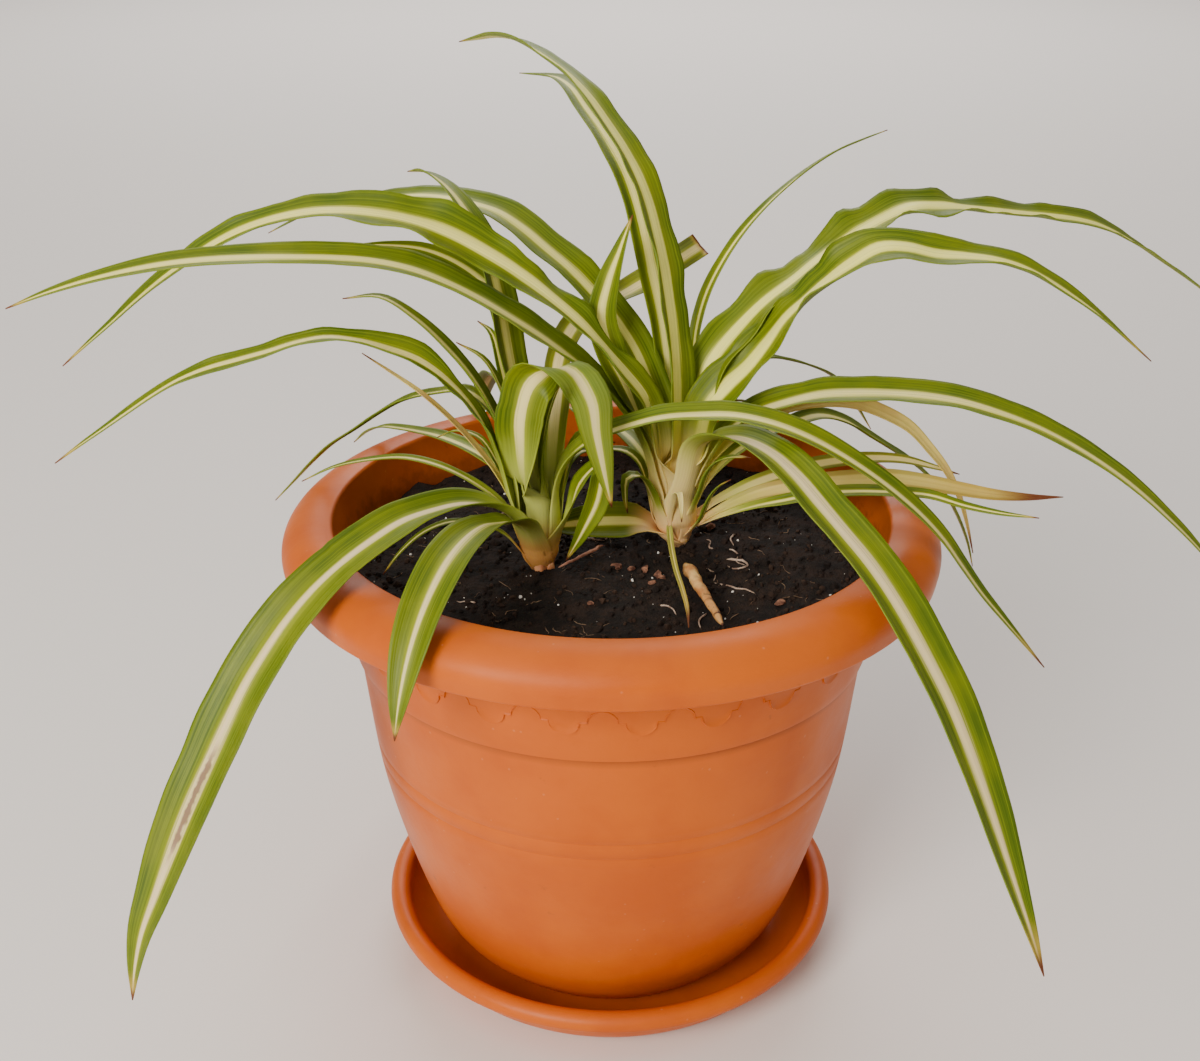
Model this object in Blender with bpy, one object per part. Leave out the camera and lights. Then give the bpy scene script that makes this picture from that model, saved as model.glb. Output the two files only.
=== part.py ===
"""Potted spider plant: a terracotta-coloured plastic pot on its saucer, potting soil, and one plant
with two crowns of striped, arching leaves. Metres, +Z up. The origin is the centre of the saucer's
flat underside, and -Y is the front."""

import math

import bmesh
import bpy
import numpy as np
from mathutils import Matrix, Vector

MM = 0.001
GAP = 0.3 * MM  # clearance between solids that touch on the real thing

# Driving dimensions
POT_HEIGHT = 195 * MM  # table to the crest of the rim
RIM_RADIUS = 125 * MM
MOUTH_RADIUS = 105.4 * MM
WALL = 3 * MM
BAND_STEP_HEIGHT = 143.5 * MM  # where the band under the rim ends in a small step
FOOT_RADIUS = 58 * MM
SAUCER_RADIUS = 93.8 * MM
SAUCER_HEIGHT = 24 * MM
SAUCER_FLOOR = 2.5 * MM
SOIL_HEIGHT = 176 * MM  # level of the soil around the crowns
LEAF_THICKNESS = 0.7 * MM
TURNED_STEPS = 40  # facets round the pot, the saucer and the soil
CROWN_STEPS = 12


def clear_scene():
    for thing in list(bpy.data.objects):
        bpy.data.objects.remove(thing, do_unlink=True)


def material(name, colour, roughness):
    made = bpy.data.materials.new(name)
    made.use_nodes = True
    shader = made.node_tree.nodes["Principled BSDF"]
    shader.inputs["Base Color"].default_value = (*colour, 1)
    shader.inputs["Roughness"].default_value = roughness
    shader.inputs["Metallic"].default_value = 0
    made.diffuse_color = (*colour, 1)
    return made


def add_object(name, bm, finish, crease=40):
    """The bmesh as a smooth-shaded object of its own; edges sharper than the crease stay sharp."""
    mesh = bpy.data.meshes.new(name)
    bm.to_mesh(mesh)
    bm.free()
    mesh.shade_smooth()
    mesh.set_sharp_from_angle(angle=math.radians(crease))
    mesh.materials.append(finish)
    made = bpy.data.objects.new(name, mesh)
    bpy.context.collection.objects.link(made)
    return made


def turned(profile, steps):
    """A bmesh turned about Z from (radius, height) points: a closed outline, or one whose two ends
    lie on the axis."""
    bm = bmesh.new()
    points = [bm.verts.new((radius, 0, height)) for radius, height in profile]
    on_axis = profile[0][0] == 0 and profile[-1][0] == 0
    edges = [bm.edges.new(pair) for pair in zip(points, points[1:])]
    if not on_axis:
        edges.append(bm.edges.new((points[-1], points[0])))
    bmesh.ops.spin(
        bm, geom=points + edges, cent=(0, 0, 0), axis=(0, 0, 1), angle=2 * math.pi, steps=steps,
        use_merge=True,
    )
    bmesh.ops.remove_doubles(bm, verts=bm.verts, dist=1e-6)
    bmesh.ops.recalc_face_normals(bm, faces=bm.faces)
    return bm


def arc(centre, radii, start, end, count):
    """Points of an elliptical arc in the profile plane, angles in degrees from the outward axis."""
    turn = np.radians(np.linspace(start, end, count))
    return [
        (centre[0] + radii[0] * math.cos(a), centre[1] + radii[1] * math.sin(a)) for a in turn
    ]


# --- Pot and saucer ---------------------------------------------------------------------------

POT_FOOT = SAUCER_FLOOR + GAP
# Radius and height up the outside of the body, from the rounded foot to the band's step
BODY_OUTSIDE = [
    (FOOT_RADIUS, POT_FOOT),
    (64 * MM, 8.5 * MM),
    (69.5 * MM, 15 * MM),
    (74 * MM, 22 * MM),
    (78.2 * MM, 32 * MM),
    (83.6 * MM, 50 * MM),
    (89 * MM, 70 * MM),
    (93 * MM, 90 * MM),
    (95.6 * MM, 110 * MM),
    (97.6 * MM, 130 * MM),
    (98.8 * MM, BAND_STEP_HEIGHT),
]
BAND_OUTSIDE = [
    (100.4 * MM, BAND_STEP_HEIGHT + 1 * MM),
    (102.8 * MM, 160 * MM),
    (105.6 * MM, 178 * MM),
    (107.2 * MM, 187 * MM),
]
KNOCK_OUTS = 6  # shallow round drain knock-outs on the underside
KNOCK_OUT_RADIUS = 5 * MM
KNOCK_OUT_RING = 32 * MM
KNOCK_OUT_DEPTH = 1.2 * MM
FOOT_RING = 9 * MM  # width of the ring that the pot stands on
FOOT_RECESS = 1.8 * MM  # how far the floor is raised inside that ring


RIM_CREST = 110 * MM  # radius of the top of the roll
RIM_DROP = 17 * MM  # how far its lip hangs below the crest
RIM_HEIGHT = 11 * MM  # of the round part of the roll
LIP_THICKNESS = 2.4 * MM


def rim_outside():
    """The rolled rim from under its lip, over the crest, to the mouth's edge."""
    roll = arc((RIM_CREST, POT_HEIGHT - RIM_HEIGHT), (RIM_RADIUS - RIM_CREST, RIM_HEIGHT), -8, 84, 8)
    lip = (RIM_RADIUS - 0.7 * MM, POT_HEIGHT - RIM_DROP)
    return [lip, *roll, (MOUTH_RADIUS, POT_HEIGHT - 0.6 * MM)]


def rim_underside():
    """The hollow under the rolled rim, from its lip back to the band."""
    wall = 1.1 * LIP_THICKNESS
    hollow = arc(
        (RIM_CREST, POT_HEIGHT - RIM_HEIGHT - 1 * MM),
        (RIM_RADIUS - RIM_CREST - wall, RIM_HEIGHT + 1 * MM - wall), 0, 75, 4,
    )
    return [(RIM_RADIUS - 0.7 * MM - LIP_THICKNESS, POT_HEIGHT - RIM_DROP), *hollow]


def inside_wall():
    """The inner wall from the mouth down to the floor."""
    above_the_foot = BODY_OUTSIDE[4:-2]
    walls = [(r - WALL, z) for r, z in (above_the_foot + BAND_OUTSIDE)[::-1]]
    floor = POT_FOOT + FOOT_RECESS + WALL
    return walls + [(70 * MM, 23 * MM), (62 * MM, floor + 2.5 * MM), (56 * MM, floor)]


def make_pot(finish):
    floor = POT_FOOT + FOOT_RECESS
    underside = [
        (0, floor),
        (FOOT_RADIUS - FOOT_RING - 1 * MM, floor),
        (FOOT_RADIUS - FOOT_RING, POT_FOOT),
    ]
    outside = underside + BODY_OUTSIDE + BAND_OUTSIDE + rim_underside()[::-1] + rim_outside()
    pot = add_object(
        "pot", turned(outside + inside_wall() + [(0, floor + WALL)], TURNED_STEPS), finish
    )
    cutter = knock_out_cutter(floor)
    cut = pot.modifiers.new("drain knock-outs", "BOOLEAN")
    cut.operation = "DIFFERENCE"
    cut.object = cutter
    return pot


def knock_out_cutter(floor):
    bm = bmesh.new()
    for turn in range(KNOCK_OUTS):
        angle = 2 * math.pi * turn / KNOCK_OUTS
        place = Vector((math.cos(angle), math.sin(angle), 0)) * KNOCK_OUT_RING
        place.z = floor
        bmesh.ops.create_cone(
            bm, cap_ends=True, segments=12, radius1=KNOCK_OUT_RADIUS, radius2=KNOCK_OUT_RADIUS,
            depth=2 * KNOCK_OUT_DEPTH, matrix=Matrix.Translation(place),
        )
    return as_cutter("drain_knock_out_cutter", bm)


def as_cutter(name, bm):
    mesh = bpy.data.meshes.new(name)
    bm.to_mesh(mesh)
    bm.free()
    cutter = bpy.data.objects.new(name, mesh)
    cutter.hide_render = True
    cutter.display_type = "WIRE"
    bpy.context.collection.objects.link(cutter)
    return cutter


def make_saucer(finish):
    """A shallow dish with a rolled rim, one wall thickness all over."""
    outside = [
        (0, 0),
        (72 * MM, 0),
        (77.5 * MM, 1.6 * MM),
        (83 * MM, 6.2 * MM),
        (87.4 * MM, 12 * MM),
        (90.2 * MM, 17 * MM),
    ]
    roll = arc((89.6 * MM, 20 * MM), (SAUCER_RADIUS - 89.6 * MM, 4 * MM), -35, 105, 7)
    inside = [
        (85.9 * MM, SAUCER_HEIGHT - 0.8 * MM),
        (84.6 * MM, 14 * MM),
        (80.6 * MM, 8 * MM),
        (75 * MM, 4 * MM),
        (70 * MM, SAUCER_FLOOR),
        (0, SAUCER_FLOOR),
    ]
    return add_object("saucer", turned(outside + roll + inside, TURNED_STEPS), finish)


# --- The two crowns and the roots that show ------------------------------------------------------


class Crown:
    """The bundle of leaf bases that stands in the soil: (radius, height above the soil) up its
    side, in mm, and where it stands."""

    def __init__(self, x, y, profile):
        self.place = Vector((x, y, 0)) * MM + Vector((0, 0, SOIL_HEIGHT))
        self.radii, self.heights = np.array(profile).T

    def radius(self, height):
        return float(np.interp(height, self.heights, self.radii))


RIGHT = Crown(24, 9, [(3, -14), (4.6, -4), (4.8, 2), (6.6, 9), (7.8, 17), (7.2, 23)])
LEFT = Crown(-27, -12, [(3.5, -12), (5.6, -4), (5.6, 4), (6.4, 11), (6.8, 17), (6.2, 21)])


def crown_bmesh(crown, extra=0.0):
    profile = [(r * MM + extra, h * MM) for r, h in zip(crown.radii, crown.heights)]
    ends = profile[0][1] - extra, profile[-1][1] + extra + 1 * MM
    bm = turned([(0, ends[0])] + profile + [(0, ends[1])], CROWN_STEPS)
    bmesh.ops.translate(bm, vec=crown.place, verts=bm.verts)
    return bm


def tube(name, points, radii, finish, sides=8):
    """A root: a ring of verts at each of its points, bridged, with a face at each end."""
    bm = bmesh.new()
    path = [Vector(point) * MM for point in points]
    rings = []
    for index, (centre, radius) in enumerate(zip(path, radii)):
        ahead = path[min(index + 1, len(path) - 1)] - path[max(index - 1, 0)]
        turn = Vector((0, 0, 1)).rotation_difference(ahead).to_matrix().to_4x4()
        ring = bmesh.ops.create_circle(
            bm, segments=sides, radius=radius * MM, matrix=Matrix.Translation(centre) @ turn
        )
        rings.append(set(ring["verts"]))
    for pair in zip(rings, rings[1:]):
        loops = [edge for edge in bm.edges if any(set(edge.verts) <= ring for ring in pair)]
        bmesh.ops.bridge_loops(bm, edges=loops)
    bmesh.ops.holes_fill(bm, edges=[e for e in bm.edges if e.is_boundary], sides=sides)
    bmesh.ops.recalc_face_normals(bm, faces=bm.faces)
    return add_object(name, bm, finish, crease=70)


# --- Soil -------------------------------------------------------------------------------------


SOIL_GAP = 1.5 * GAP
SOIL_DIP = 4 * MM  # no part of its top lies further than this below its level


def soil_top(x, y):
    """Height of the soil at a place: the level, with a few low humps."""
    humps = math.sin(61 * x + 1.1) * math.cos(53 * y) + 0.6 * math.sin(97 * (x + y) + 0.4)
    return SOIL_HEIGHT - 1.8 * MM + 0.9 * MM * humps


def make_soil(finish):
    """Fills the pot to just under its rim, clear of the wall, with a socket for each crown."""
    wall = inside_wall()
    radii, heights = np.array(wall[::-1]).T
    edge = float(np.interp(SOIL_HEIGHT - SOIL_DIP, heights, radii)) - SOIL_GAP
    side = [(r - SOIL_GAP, z + GAP) for r, z in wall if z < SOIL_HEIGHT - SOIL_DIP]
    rings = [(edge * share, SOIL_HEIGHT) for share in (1, 0.75, 0.5, 0.25)]
    outline = [(0, side[-1][1]), *side[::-1], *rings, (0, SOIL_HEIGHT)]
    bm = turned(outline, TURNED_STEPS)
    for vert in bm.verts:
        if vert.co.z > SOIL_HEIGHT - 1 * MM:
            vert.co.z = soil_top(vert.co.x, vert.co.y)
    soil = add_object("soil", bm, finish)
    for label, crown in (("right", RIGHT), ("left", LEFT)):
        socket = soil.modifiers.new(f"socket {label}", "BOOLEAN")
        socket.operation = "DIFFERENCE"
        socket.object = as_cutter(f"socket_cutter_{label}", crown_bmesh(crown, extra=GAP))
    return soil


# --- Leaves -----------------------------------------------------------------------------------


def smooth_path(points, count):
    """Evenly spaced places on a Catmull-Rom curve through the points, and its direction there."""
    knots = np.array([points[0] * 2 - points[1], *points, points[-1] * 2 - points[-2]])
    pieces = []
    for a, b, c, d in zip(knots, knots[1:], knots[2:], knots[3:]):
        t = np.linspace(0, 1, 16, endpoint=False)[:, None]
        pieces.append(
            0.5 * (2 * b + (c - a) * t + (2 * a - 5 * b + 4 * c - d) * t**2
                   + (3 * b - a - 3 * c + d) * t**3)
        )
    curve = np.vstack([*pieces, points[-1]])
    walked = np.concatenate([[0], np.linalg.norm(np.diff(curve, axis=0), axis=1).cumsum()])
    stops = np.linspace(0, walked[-1], count)
    places = np.stack([np.interp(stops, walked, curve[:, i]) for i in range(3)], axis=1)
    ahead = np.gradient(places, axis=0)
    return places, ahead / np.linalg.norm(ahead, axis=1, keepdims=True)


def blade_width(t, base, widest):
    """Share of the full width at a share of the length: a narrow sheath, a long taper, a point."""
    opening = base + (1 - base) * math.sin(min(t / widest, 1) * math.pi / 2)
    beyond = max(t - widest, 0) / (1 - widest)
    return opening * max(1 - 0.36 * beyond - 0.64 * beyond**3, 0)


STATION = 13 * MM  # how far apart the blade's rows of verts are
FEWEST_STATIONS = 6
MOST_STATIONS = 20
STATIONS_FOR_WAVES = 4


def leaf(name, crown, finish, heading, start, width, path, base=0.3, widest=0.45, roll=(0, 0),
         waves=0, wave_height=0, fold=0.22):
    """One leaf blade: a thin channelled ribbon that runs through the path's (out, up) or
    (out, up, aside) points, in mm from the crown's foot along its heading. It starts on the crown
    at an angle and a height, or at an angle, a height and a distance from the axis. Its width is in
    mm, roll turns the blade at its base and tip in degrees, and waves ruffle its edges."""
    turn = math.radians(heading)
    out = np.array([math.cos(turn), math.sin(turn), 0])
    aside = np.array([-math.sin(turn), math.cos(turn), 0])
    up = np.array([0, 0, 1])
    angle, height, *distance = start
    distance = distance[0] if distance else crown.radius(height) + 0.9
    foot = np.array(crown.place)
    foot_angle = math.radians(angle)
    places = [foot + MM * np.array([
        distance * math.cos(foot_angle), distance * math.sin(foot_angle), height])]
    places += [
        foot + MM * (p[0] * out + p[1] * up + (p[2] if len(p) > 2 else 0) * aside) for p in path
    ]
    length = sum(np.linalg.norm(b - a) for a, b in zip(places, places[1:]))
    stations = int(min(max(length / STATION, FEWEST_STATIONS), MOST_STATIONS))
    stations += STATIONS_FOR_WAVES if waves else 0
    centres, ahead = smooth_path(places, stations + 1)

    def place(across, along):
        """Where a point of the flat strip lands: across runs -1 to 1, along 0 to 1."""
        index = round(along * stations)
        forward = ahead[index]
        side = aside - forward * (aside @ forward)
        side /= np.linalg.norm(side)
        angle = math.radians(roll[0] + (roll[1] - roll[0]) * along)
        face = np.cross(forward, side)
        side, face = (
            side * math.cos(angle) + face * math.sin(angle),
            face * math.cos(angle) - side * math.sin(angle),
        )
        half = 0.5 * width * blade_width(along, base, widest)
        lift = fold * half * abs(across)
        ruffle = wave_height * math.sin(2 * math.pi * waves * along + 1.3 * across) * abs(across)
        lift += ruffle * math.sin(math.pi * min(along * 1.2, 1))
        return centres[index] + MM * (-side * half * across + face * lift)

    bm = bmesh.new()
    bmesh.ops.create_grid(bm, x_segments=2, y_segments=stations, size=1)
    for vert in bm.verts:
        vert.co = Vector(place(vert.co.x, (vert.co.y + 1) / 2))
    bmesh.ops.remove_doubles(bm, verts=bm.verts, dist=1e-6)
    blade = add_object(name, bm, finish, crease=70)
    skin = blade.modifiers.new("thickness", "SOLIDIFY")
    skin.thickness = LEAF_THICKNESS
    skin.offset = -1
    return blade


# Heading 0 is to the right, 90 to the back.
RIGHT_LEAVES = {
    # tall ones that stand over the middle
    "arch_tall": dict(heading=128, start=(110, 25, 1.2), width=17, roll=(15, 20), path=[
        (-2, 48), (1, 84), (10, 116), (21, 137), (42, 156), (66, 170), (104, 179), (140, 174)]),
    "arch_behind": dict(heading=116, start=(92, 25, 6.6), width=13, path=[
        (12, 45, -5), (17, 66, -6), (19, 86, -4), (22, 108), (30, 123), (46, 139), (79, 155),
        (101, 162), (143, 159)]),
    "spire_right": dict(heading=52, start=(66, 25, 6), width=8, roll=(-10, -35), path=[
        (10, 45, 1), (15, 63, 3), (21, 85, 5), (28, 96, 4), (38, 109, 2), (55, 126, -6),
        (85, 138, -12), (115, 144, -20)]),
    "spire_middle": dict(heading=165, start=(198, 25, 5.8), width=12, roll=(45, -140), path=[
        (9, 40, 3), (15, 56, 3), (24, 75, 4), (28, 90, 3), (25, 104, 2), (17, 127, 2)]),
    # the two ruffled ones at the right
    "ruffled_upper": dict(heading=30, start=(30, 25, 4.6), width=20, roll=(30, 0), waves=3.5,
                          wave_height=1.6, path=[
        (9, 45), (13, 66), (34, 87), (56, 99), (70, 107), (87, 113), (112, 119), (166, 110),
        (218, 98), (265, 74), (310, 48)]),
    "ruffled_lower": dict(heading=1, start=(-50, 25, 4.4), width=19, roll=(45, 0), waves=3,
                          wave_height=1.6, path=[
        (9, 40, -2), (13, 57, -3), (29, 74, -1), (38, 88), (51, 101), (61, 109), (76, 117),
        (92, 114), (122, 110), (150, 95), (179, 72)]),
    # long ones at the right
    "arch_right": dict(heading=-6, start=(2, 20), width=17, roll=(12, 12), path=[
        (14, 36), (24, 50), (40, 58), (60, 63), (94, 63), (119, 58), (146, 47), (173, 30),
        (200, 6), (216, -12)]),
    "droop_front_right": dict(heading=-52, start=(-62, 18), width=18, base=0.4, widest=0.4, path=[
        (12, 34), (17, 46), (34, 53), (52, 53), (67, 48), (82, 40), (104, 28), (117, 18),
        (130, 6), (145, -11), (162, -37), (174, -58), (185, -77), (191, -88)]),
    "trail_back_right": dict(heading=21, start=(36, 12), width=9, roll=(10, 10), path=[
        (14, 23), (28, 34), (48, 41), (67, 43), (81, 35), (96, 25), (112, 13), (128, -4),
        (139, -24), (144, -38)]),
    "loop_back_right": dict(heading=40, start=(50, 19), width=7, path=[
        (14, 40), (26, 58), (42, 65), (66, 59), (90, 47), (103, 34), (117, 17)]),
    "faded_right": dict(heading=6, start=(12, 16), width=6, path=[
        (13, 29), (26, 44), (44, 54), (66, 55), (88, 46), (100, 35), (111, 21), (118, 6),
        (124, -13)]),
    # low ones that lie over the rim at the right
    "low_pale": dict(heading=14, start=(24, 7), width=5, path=[
        (16, 13), (27, 18), (40, 22), (62, 26), (92, 25), (122, 15)]),
    "low_yellow": dict(heading=-1, start=(0, 5), width=6, path=[
        (15, 10), (26, 16), (39, 21), (64, 25), (87, 26), (110, 22), (130, 19), (151, 19)]),
    "low_green": dict(heading=-14, start=(-28, 6), width=5, path=[
        (14, 9), (26, 15), (40, 20), (64, 27), (97, 29), (115, 25), (137, 24)]),
    # short ones round the foot
    "curl_inner": dict(heading=-30, start=(-52, 9), width=6, path=[
        (11, 20), (14, 30), (20, 38), (32, 41)]),
    "sliver_right": dict(heading=-38, start=(-40, 2), width=3.5, path=[
        (13, 12), (16, 20), (20, 27), (26, 32)]),
    "sliver_front": dict(heading=-84, start=(-104, 10), width=4, path=[
        (13, 22, -2), (17, 28, -1), (20, 26), (23, 17)]),
    "foot_front": dict(heading=-90, start=(-104, 6), width=4, path=[
        (10, 11, -1.8), (17, 13, -2), (28, 11.5, -1.8), (38, 8.5, -1), (49, 6, 0.7), (60, 5, 2),
        (70, 4.4, 2.5), (80, 4, 2.3)]),
    "short_left": dict(heading=187, start=(190, 5), width=12, base=0.6, roll=(-20, -20), path=[
        (13, 8), (29, 9), (44, 8), (50, 7)]),
    "nod_left": dict(heading=210, start=(236, 10), width=7, path=[
        (11, 22, 3), (15, 30, 2), (20, 32), (22, 24), (21, 15)]),
    "short_behind_left": dict(heading=168, start=(168, 13), width=7, path=[
        (10, 22), (13, 31), (20, 36), (31, 35)]),
    # long ones at the left
    "arch_left_low": dict(heading=194, start=(196, 20), width=17, roll=(-14, -20), widest=0.4, path=[
        (11, 38), (18, 52), (27, 65), (39, 77), (52, 88), (80, 107), (107, 118), (144, 122),
        (177, 122), (208, 117), (231, 110)]),
    "arch_left_ruffled": dict(heading=186, start=(226, 25, 5.6), width=17, roll=(-42, -12),
                              waves=2.5, wave_height=1.4, widest=0.4, path=[
        (7, 45, 3), (11, 59, 3), (21, 73, 3), (36, 91, 3), (59, 110), (90, 127), (123, 133),
        (154, 127), (182, 111), (206, 92), (222, 79)]),
    "arch_left_high": dict(heading=147, start=(138, 25, 5.4), width=18, roll=(-8, -6), base=0.25, path=[
        (4.5, 46), (9, 59), (21, 76, -3), (35, 91, -2), (49, 103), (62, 110), (80, 119),
        (119, 121), (172, 109), (206, 94)]),
    # at the back, over the far rim
    "droop_back": dict(heading=88, start=(88, 21), width=13, path=[
        (14, 38), (28, 48), (50, 52), (78, 46), (102, 32), (122, 12), (134, -14)]),
    "short_back": dict(heading=66, start=(66, 14), width=9, path=[
        (13, 26), (28, 37), (50, 40), (74, 33), (92, 26)]),
    "low_back": dict(heading=118, start=(118, 13), width=8, path=[
        (12, 20), (28, 29), (50, 31), (72, 27), (92, 26)]),
}
LEFT_LEAVES = {
    "upright_curved": dict(heading=127, start=(140, 23.2, 1.6), width=16, roll=(20, 20), path=[
        (6, 42), (13, 66), (18, 83), (23, 101), (30, 114), (41, 125), (54, 132), (68, 136),
        (85, 134)]),
    "spire_left": dict(heading=176, start=(172, 19), width=11, path=[
        (9, 34), (13, 53), (21, 70), (28, 80), (38, 91), (48, 99), (59, 104), (69, 102)]),
    "ruffled_left": dict(heading=186, start=(206, 16), width=10, roll=(-14, -14), waves=3,
                         wave_height=1.2, path=[
        (11, 29, 2), (17, 51, 1), (24, 65), (35, 77), (48, 85), (73, 92), (99, 86), (126, 78),
        (155, 60), (173, 48)]),
    "thin_tan": dict(heading=163, start=(164, 12), width=3.5, path=[
        (11, 24), (15, 32), (23, 43), (34, 55, 1), (46, 65, 2), (68, 77, 1)]),
    "arch_back_left": dict(heading=156, start=(146, 15), width=8, path=[
        (10, 28, -3), (14, 44, -4), (20, 57, -3), (28, 64, -1), (38, 63), (51, 60), (65, 52),
        (79, 42), (94, 31), (109, 16), (121, 4)]),
    "low_left": dict(heading=172, start=(180, 9), width=5, path=[
        (13, 22), (24, 31), (36, 37), (48, 40), (62, 39), (78, 35), (92, 28)]),
    "droop_front_left": dict(heading=221, start=(222, 10), width=17, base=0.5, widest=0.5, path=[
        (11, 20), (19, 28), (32, 34), (49, 36), (64, 35), (85, 28), (97, 22), (108, 14),
        (125, -3), (138, -21), (153, -44), (166, -67), (176, -87), (181, -108)]),
    "short_front_left": dict(heading=249, start=(258, 7), width=15, base=0.4, widest=0.5, path=[
        (12, 18), (22, 26), (36, 32), (52, 37), (72, 37), (91, 30), (99, 24), (106, 17),
        (114, 4), (119, -9)]),
    "fold_over": dict(heading=-20, start=(225, 23.2, 5), width=15, roll=(40, 80), path=[
        (-3, 40, -10), (-2, 60, -12), (0, 72, -12), (8, 80, -11), (17, 81, -10), (23, 73, -9),
        (26, 58, -9), (29, 44, -9), (32, 31, -9)]),
    "upright_narrow": dict(heading=10, start=(-30, 23.2, 3.6), width=8, path=[
        (1, 38), (2, 52), (5, 64), (9, 73)]),
    "nod_front": dict(heading=-22, start=(-55, 9), width=10, roll=(0, 110), path=[
        (11, 19, -2), (15, 33), (22, 44), (26, 42, -1), (25, 32, -2), (20, 19, -4), (13, 5, -6)]),
    "arch_right_low": dict(heading=-8, start=(-16, 19), width=13, roll=(10, 14), path=[
        (8, 38), (19, 50), (30, 56), (45, 61), (61, 63), (77, 63), (95, 58), (113, 49),
        (132, 36), (148, 21), (163, 1), (175, -13), (191, -31)]),
    "sliver_left": dict(heading=150, start=(130, 8), width=3.5, path=[
        (12, 22, -1.5), (19, 36, -1.5), (26, 45, -1), (35, 47), (46, 42)]),
    "hair_tipped": dict(heading=126, start=(112, 23.2, 5.2), width=5, path=[
        (7, 33), (12, 43), (17, 56), (22, 72, 1), (28, 84, 1), (33, 88, 1), (38, 86, 1)]),
    "short_folded": dict(heading=172, start=(178, 23.2, 4.4), width=7, path=[
        (8, 42), (10, 58), (15, 74), (22, 83), (29, 86)]),
    "leaning_back": dict(heading=76, start=(36, 23.2, 4.8), width=12, widest=0.8, path=[
        (7, 40, -3), (17, 59, -2), (32, 74), (46, 85, -6), (64, 88, -16), (76, 94, -28),
        (80, 105, -44)]),
    "arch_left_back": dict(heading=112, start=(72, 23.2, 5), width=8, path=[
        (8, 36, -3), (14, 46, -3), (21, 60, -2), (28, 76), (41, 87), (47, 98, 4), (50, 104, 12),
        (55, 111, 28), (54, 114, 52)]),
    "low_front_sprout": dict(heading=200, start=(202, 5), width=4, path=[
        (15, 15), (30, 22), (44, 20), (54, 13), (61, 5)]),
    "short_right_back": dict(heading=26, start=(18, 18), width=7, path=[
        (10, 32), (15, 46), (22, 50), (32, 43)]),
    "short_right_back_low": dict(heading=48, start=(66, 12), width=7, path=[
        (9, 24, 2), (16, 35, 2), (26, 38, 1), (35, 32)]),
    # at the back, over the far rim
    "droop_back": dict(heading=104, start=(100, 18), width=12, path=[
        (12, 34), (26, 47), (52, 54), (84, 48), (112, 34), (134, 14), (146, -12)]),
    "low_back": dict(heading=132, start=(106, 11), width=8, path=[
        (12, 22, -3), (30, 32, -1), (56, 34), (84, 30), (108, 24), (126, 12)]),
}


def make_plant(green, sheath, root):
    for side, crown in (("right", RIGHT), ("left", LEFT)):
        add_object(f"crown_{side}", crown_bmesh(crown), sheath)
    for side, crown, leaves in (("right", RIGHT, RIGHT_LEAVES), ("left", LEFT, LEFT_LEAVES)):
        for name, shape in leaves.items():
            leaf(f"leaf_{side}_{name}", crown, green, **shape)
    level = SOIL_HEIGHT / MM
    tube("root_surface", [(27.5, -21, level + 3), (29.5, -31, level + 4), (32.5, -43, level + 3.2),
                          (35.5, -55, level + 2.6), (38.5, -67, level + 2)],
         (2.2, 3, 2.5, 1.7, 0.9), root)
    tube("root_twig", [(-20, -21, level + 1.6), (-14, -16, level + 2.4), (-8, -9, level + 2.6),
                       (-3, -2, level + 1.8)], (0.6, 1, 1, 0.6), root, sides=6)


def main():
    clear_scene()
    plastic = material("terracotta plastic", (0.62, 0.2, 0.075), 0.45)
    saucer_plastic = material("terracotta plastic, saucer", (0.62, 0.2, 0.075), 0.45)
    earth = material("potting soil", (0.018, 0.012, 0.009), 0.95)
    green = material("striped leaf", (0.22, 0.34, 0.03), 0.4)
    sheath = material("pale leaf base", (0.7, 0.6, 0.32), 0.5)
    root = material("root skin", (0.55, 0.34, 0.15), 0.7)
    make_saucer(saucer_plastic)
    make_pot(plastic)
    make_soil(earth)
    make_plant(green, sheath, root)


main()
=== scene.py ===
# %% [markdown]
# # A potted spider plant
#
# A spider plant is a tuft of long, thin, arching leaves. This one has two crowns, and it grows in a
# terracotta-coloured plastic pot on a saucer. The shapes that have to work, such as the pot's wall, the
# saucer's floor and the run of every leaf, are already made in a CAD model, the frame. This script loads
# that frame and builds the surfaces that the eye sees over it: the moulded relief of the pot, the loose
# soil, the clasping leaf bases and every leaf as a thin striped blade.
#
# Each part of the plant has its own cells. The frame comes first, because every place below is read
# from it.

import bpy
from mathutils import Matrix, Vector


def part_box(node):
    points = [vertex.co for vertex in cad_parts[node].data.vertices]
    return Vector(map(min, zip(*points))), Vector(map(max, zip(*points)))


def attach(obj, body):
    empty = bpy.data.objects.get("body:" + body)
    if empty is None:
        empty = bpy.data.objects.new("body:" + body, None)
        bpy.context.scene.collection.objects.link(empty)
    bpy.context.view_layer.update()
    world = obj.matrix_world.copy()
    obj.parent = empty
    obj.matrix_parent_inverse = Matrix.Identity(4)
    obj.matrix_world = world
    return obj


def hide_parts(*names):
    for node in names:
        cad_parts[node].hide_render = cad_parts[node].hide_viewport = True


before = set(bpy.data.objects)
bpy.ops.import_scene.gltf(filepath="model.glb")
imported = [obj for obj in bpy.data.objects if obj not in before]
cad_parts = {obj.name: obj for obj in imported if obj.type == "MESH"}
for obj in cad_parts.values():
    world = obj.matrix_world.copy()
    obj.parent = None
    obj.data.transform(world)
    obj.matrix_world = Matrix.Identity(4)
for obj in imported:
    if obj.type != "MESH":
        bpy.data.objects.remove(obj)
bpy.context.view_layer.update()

# %% Modules and units
import math
import random

import bmesh
import bpy
import numpy as np
from mathutils import Matrix, Vector, noise

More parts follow.
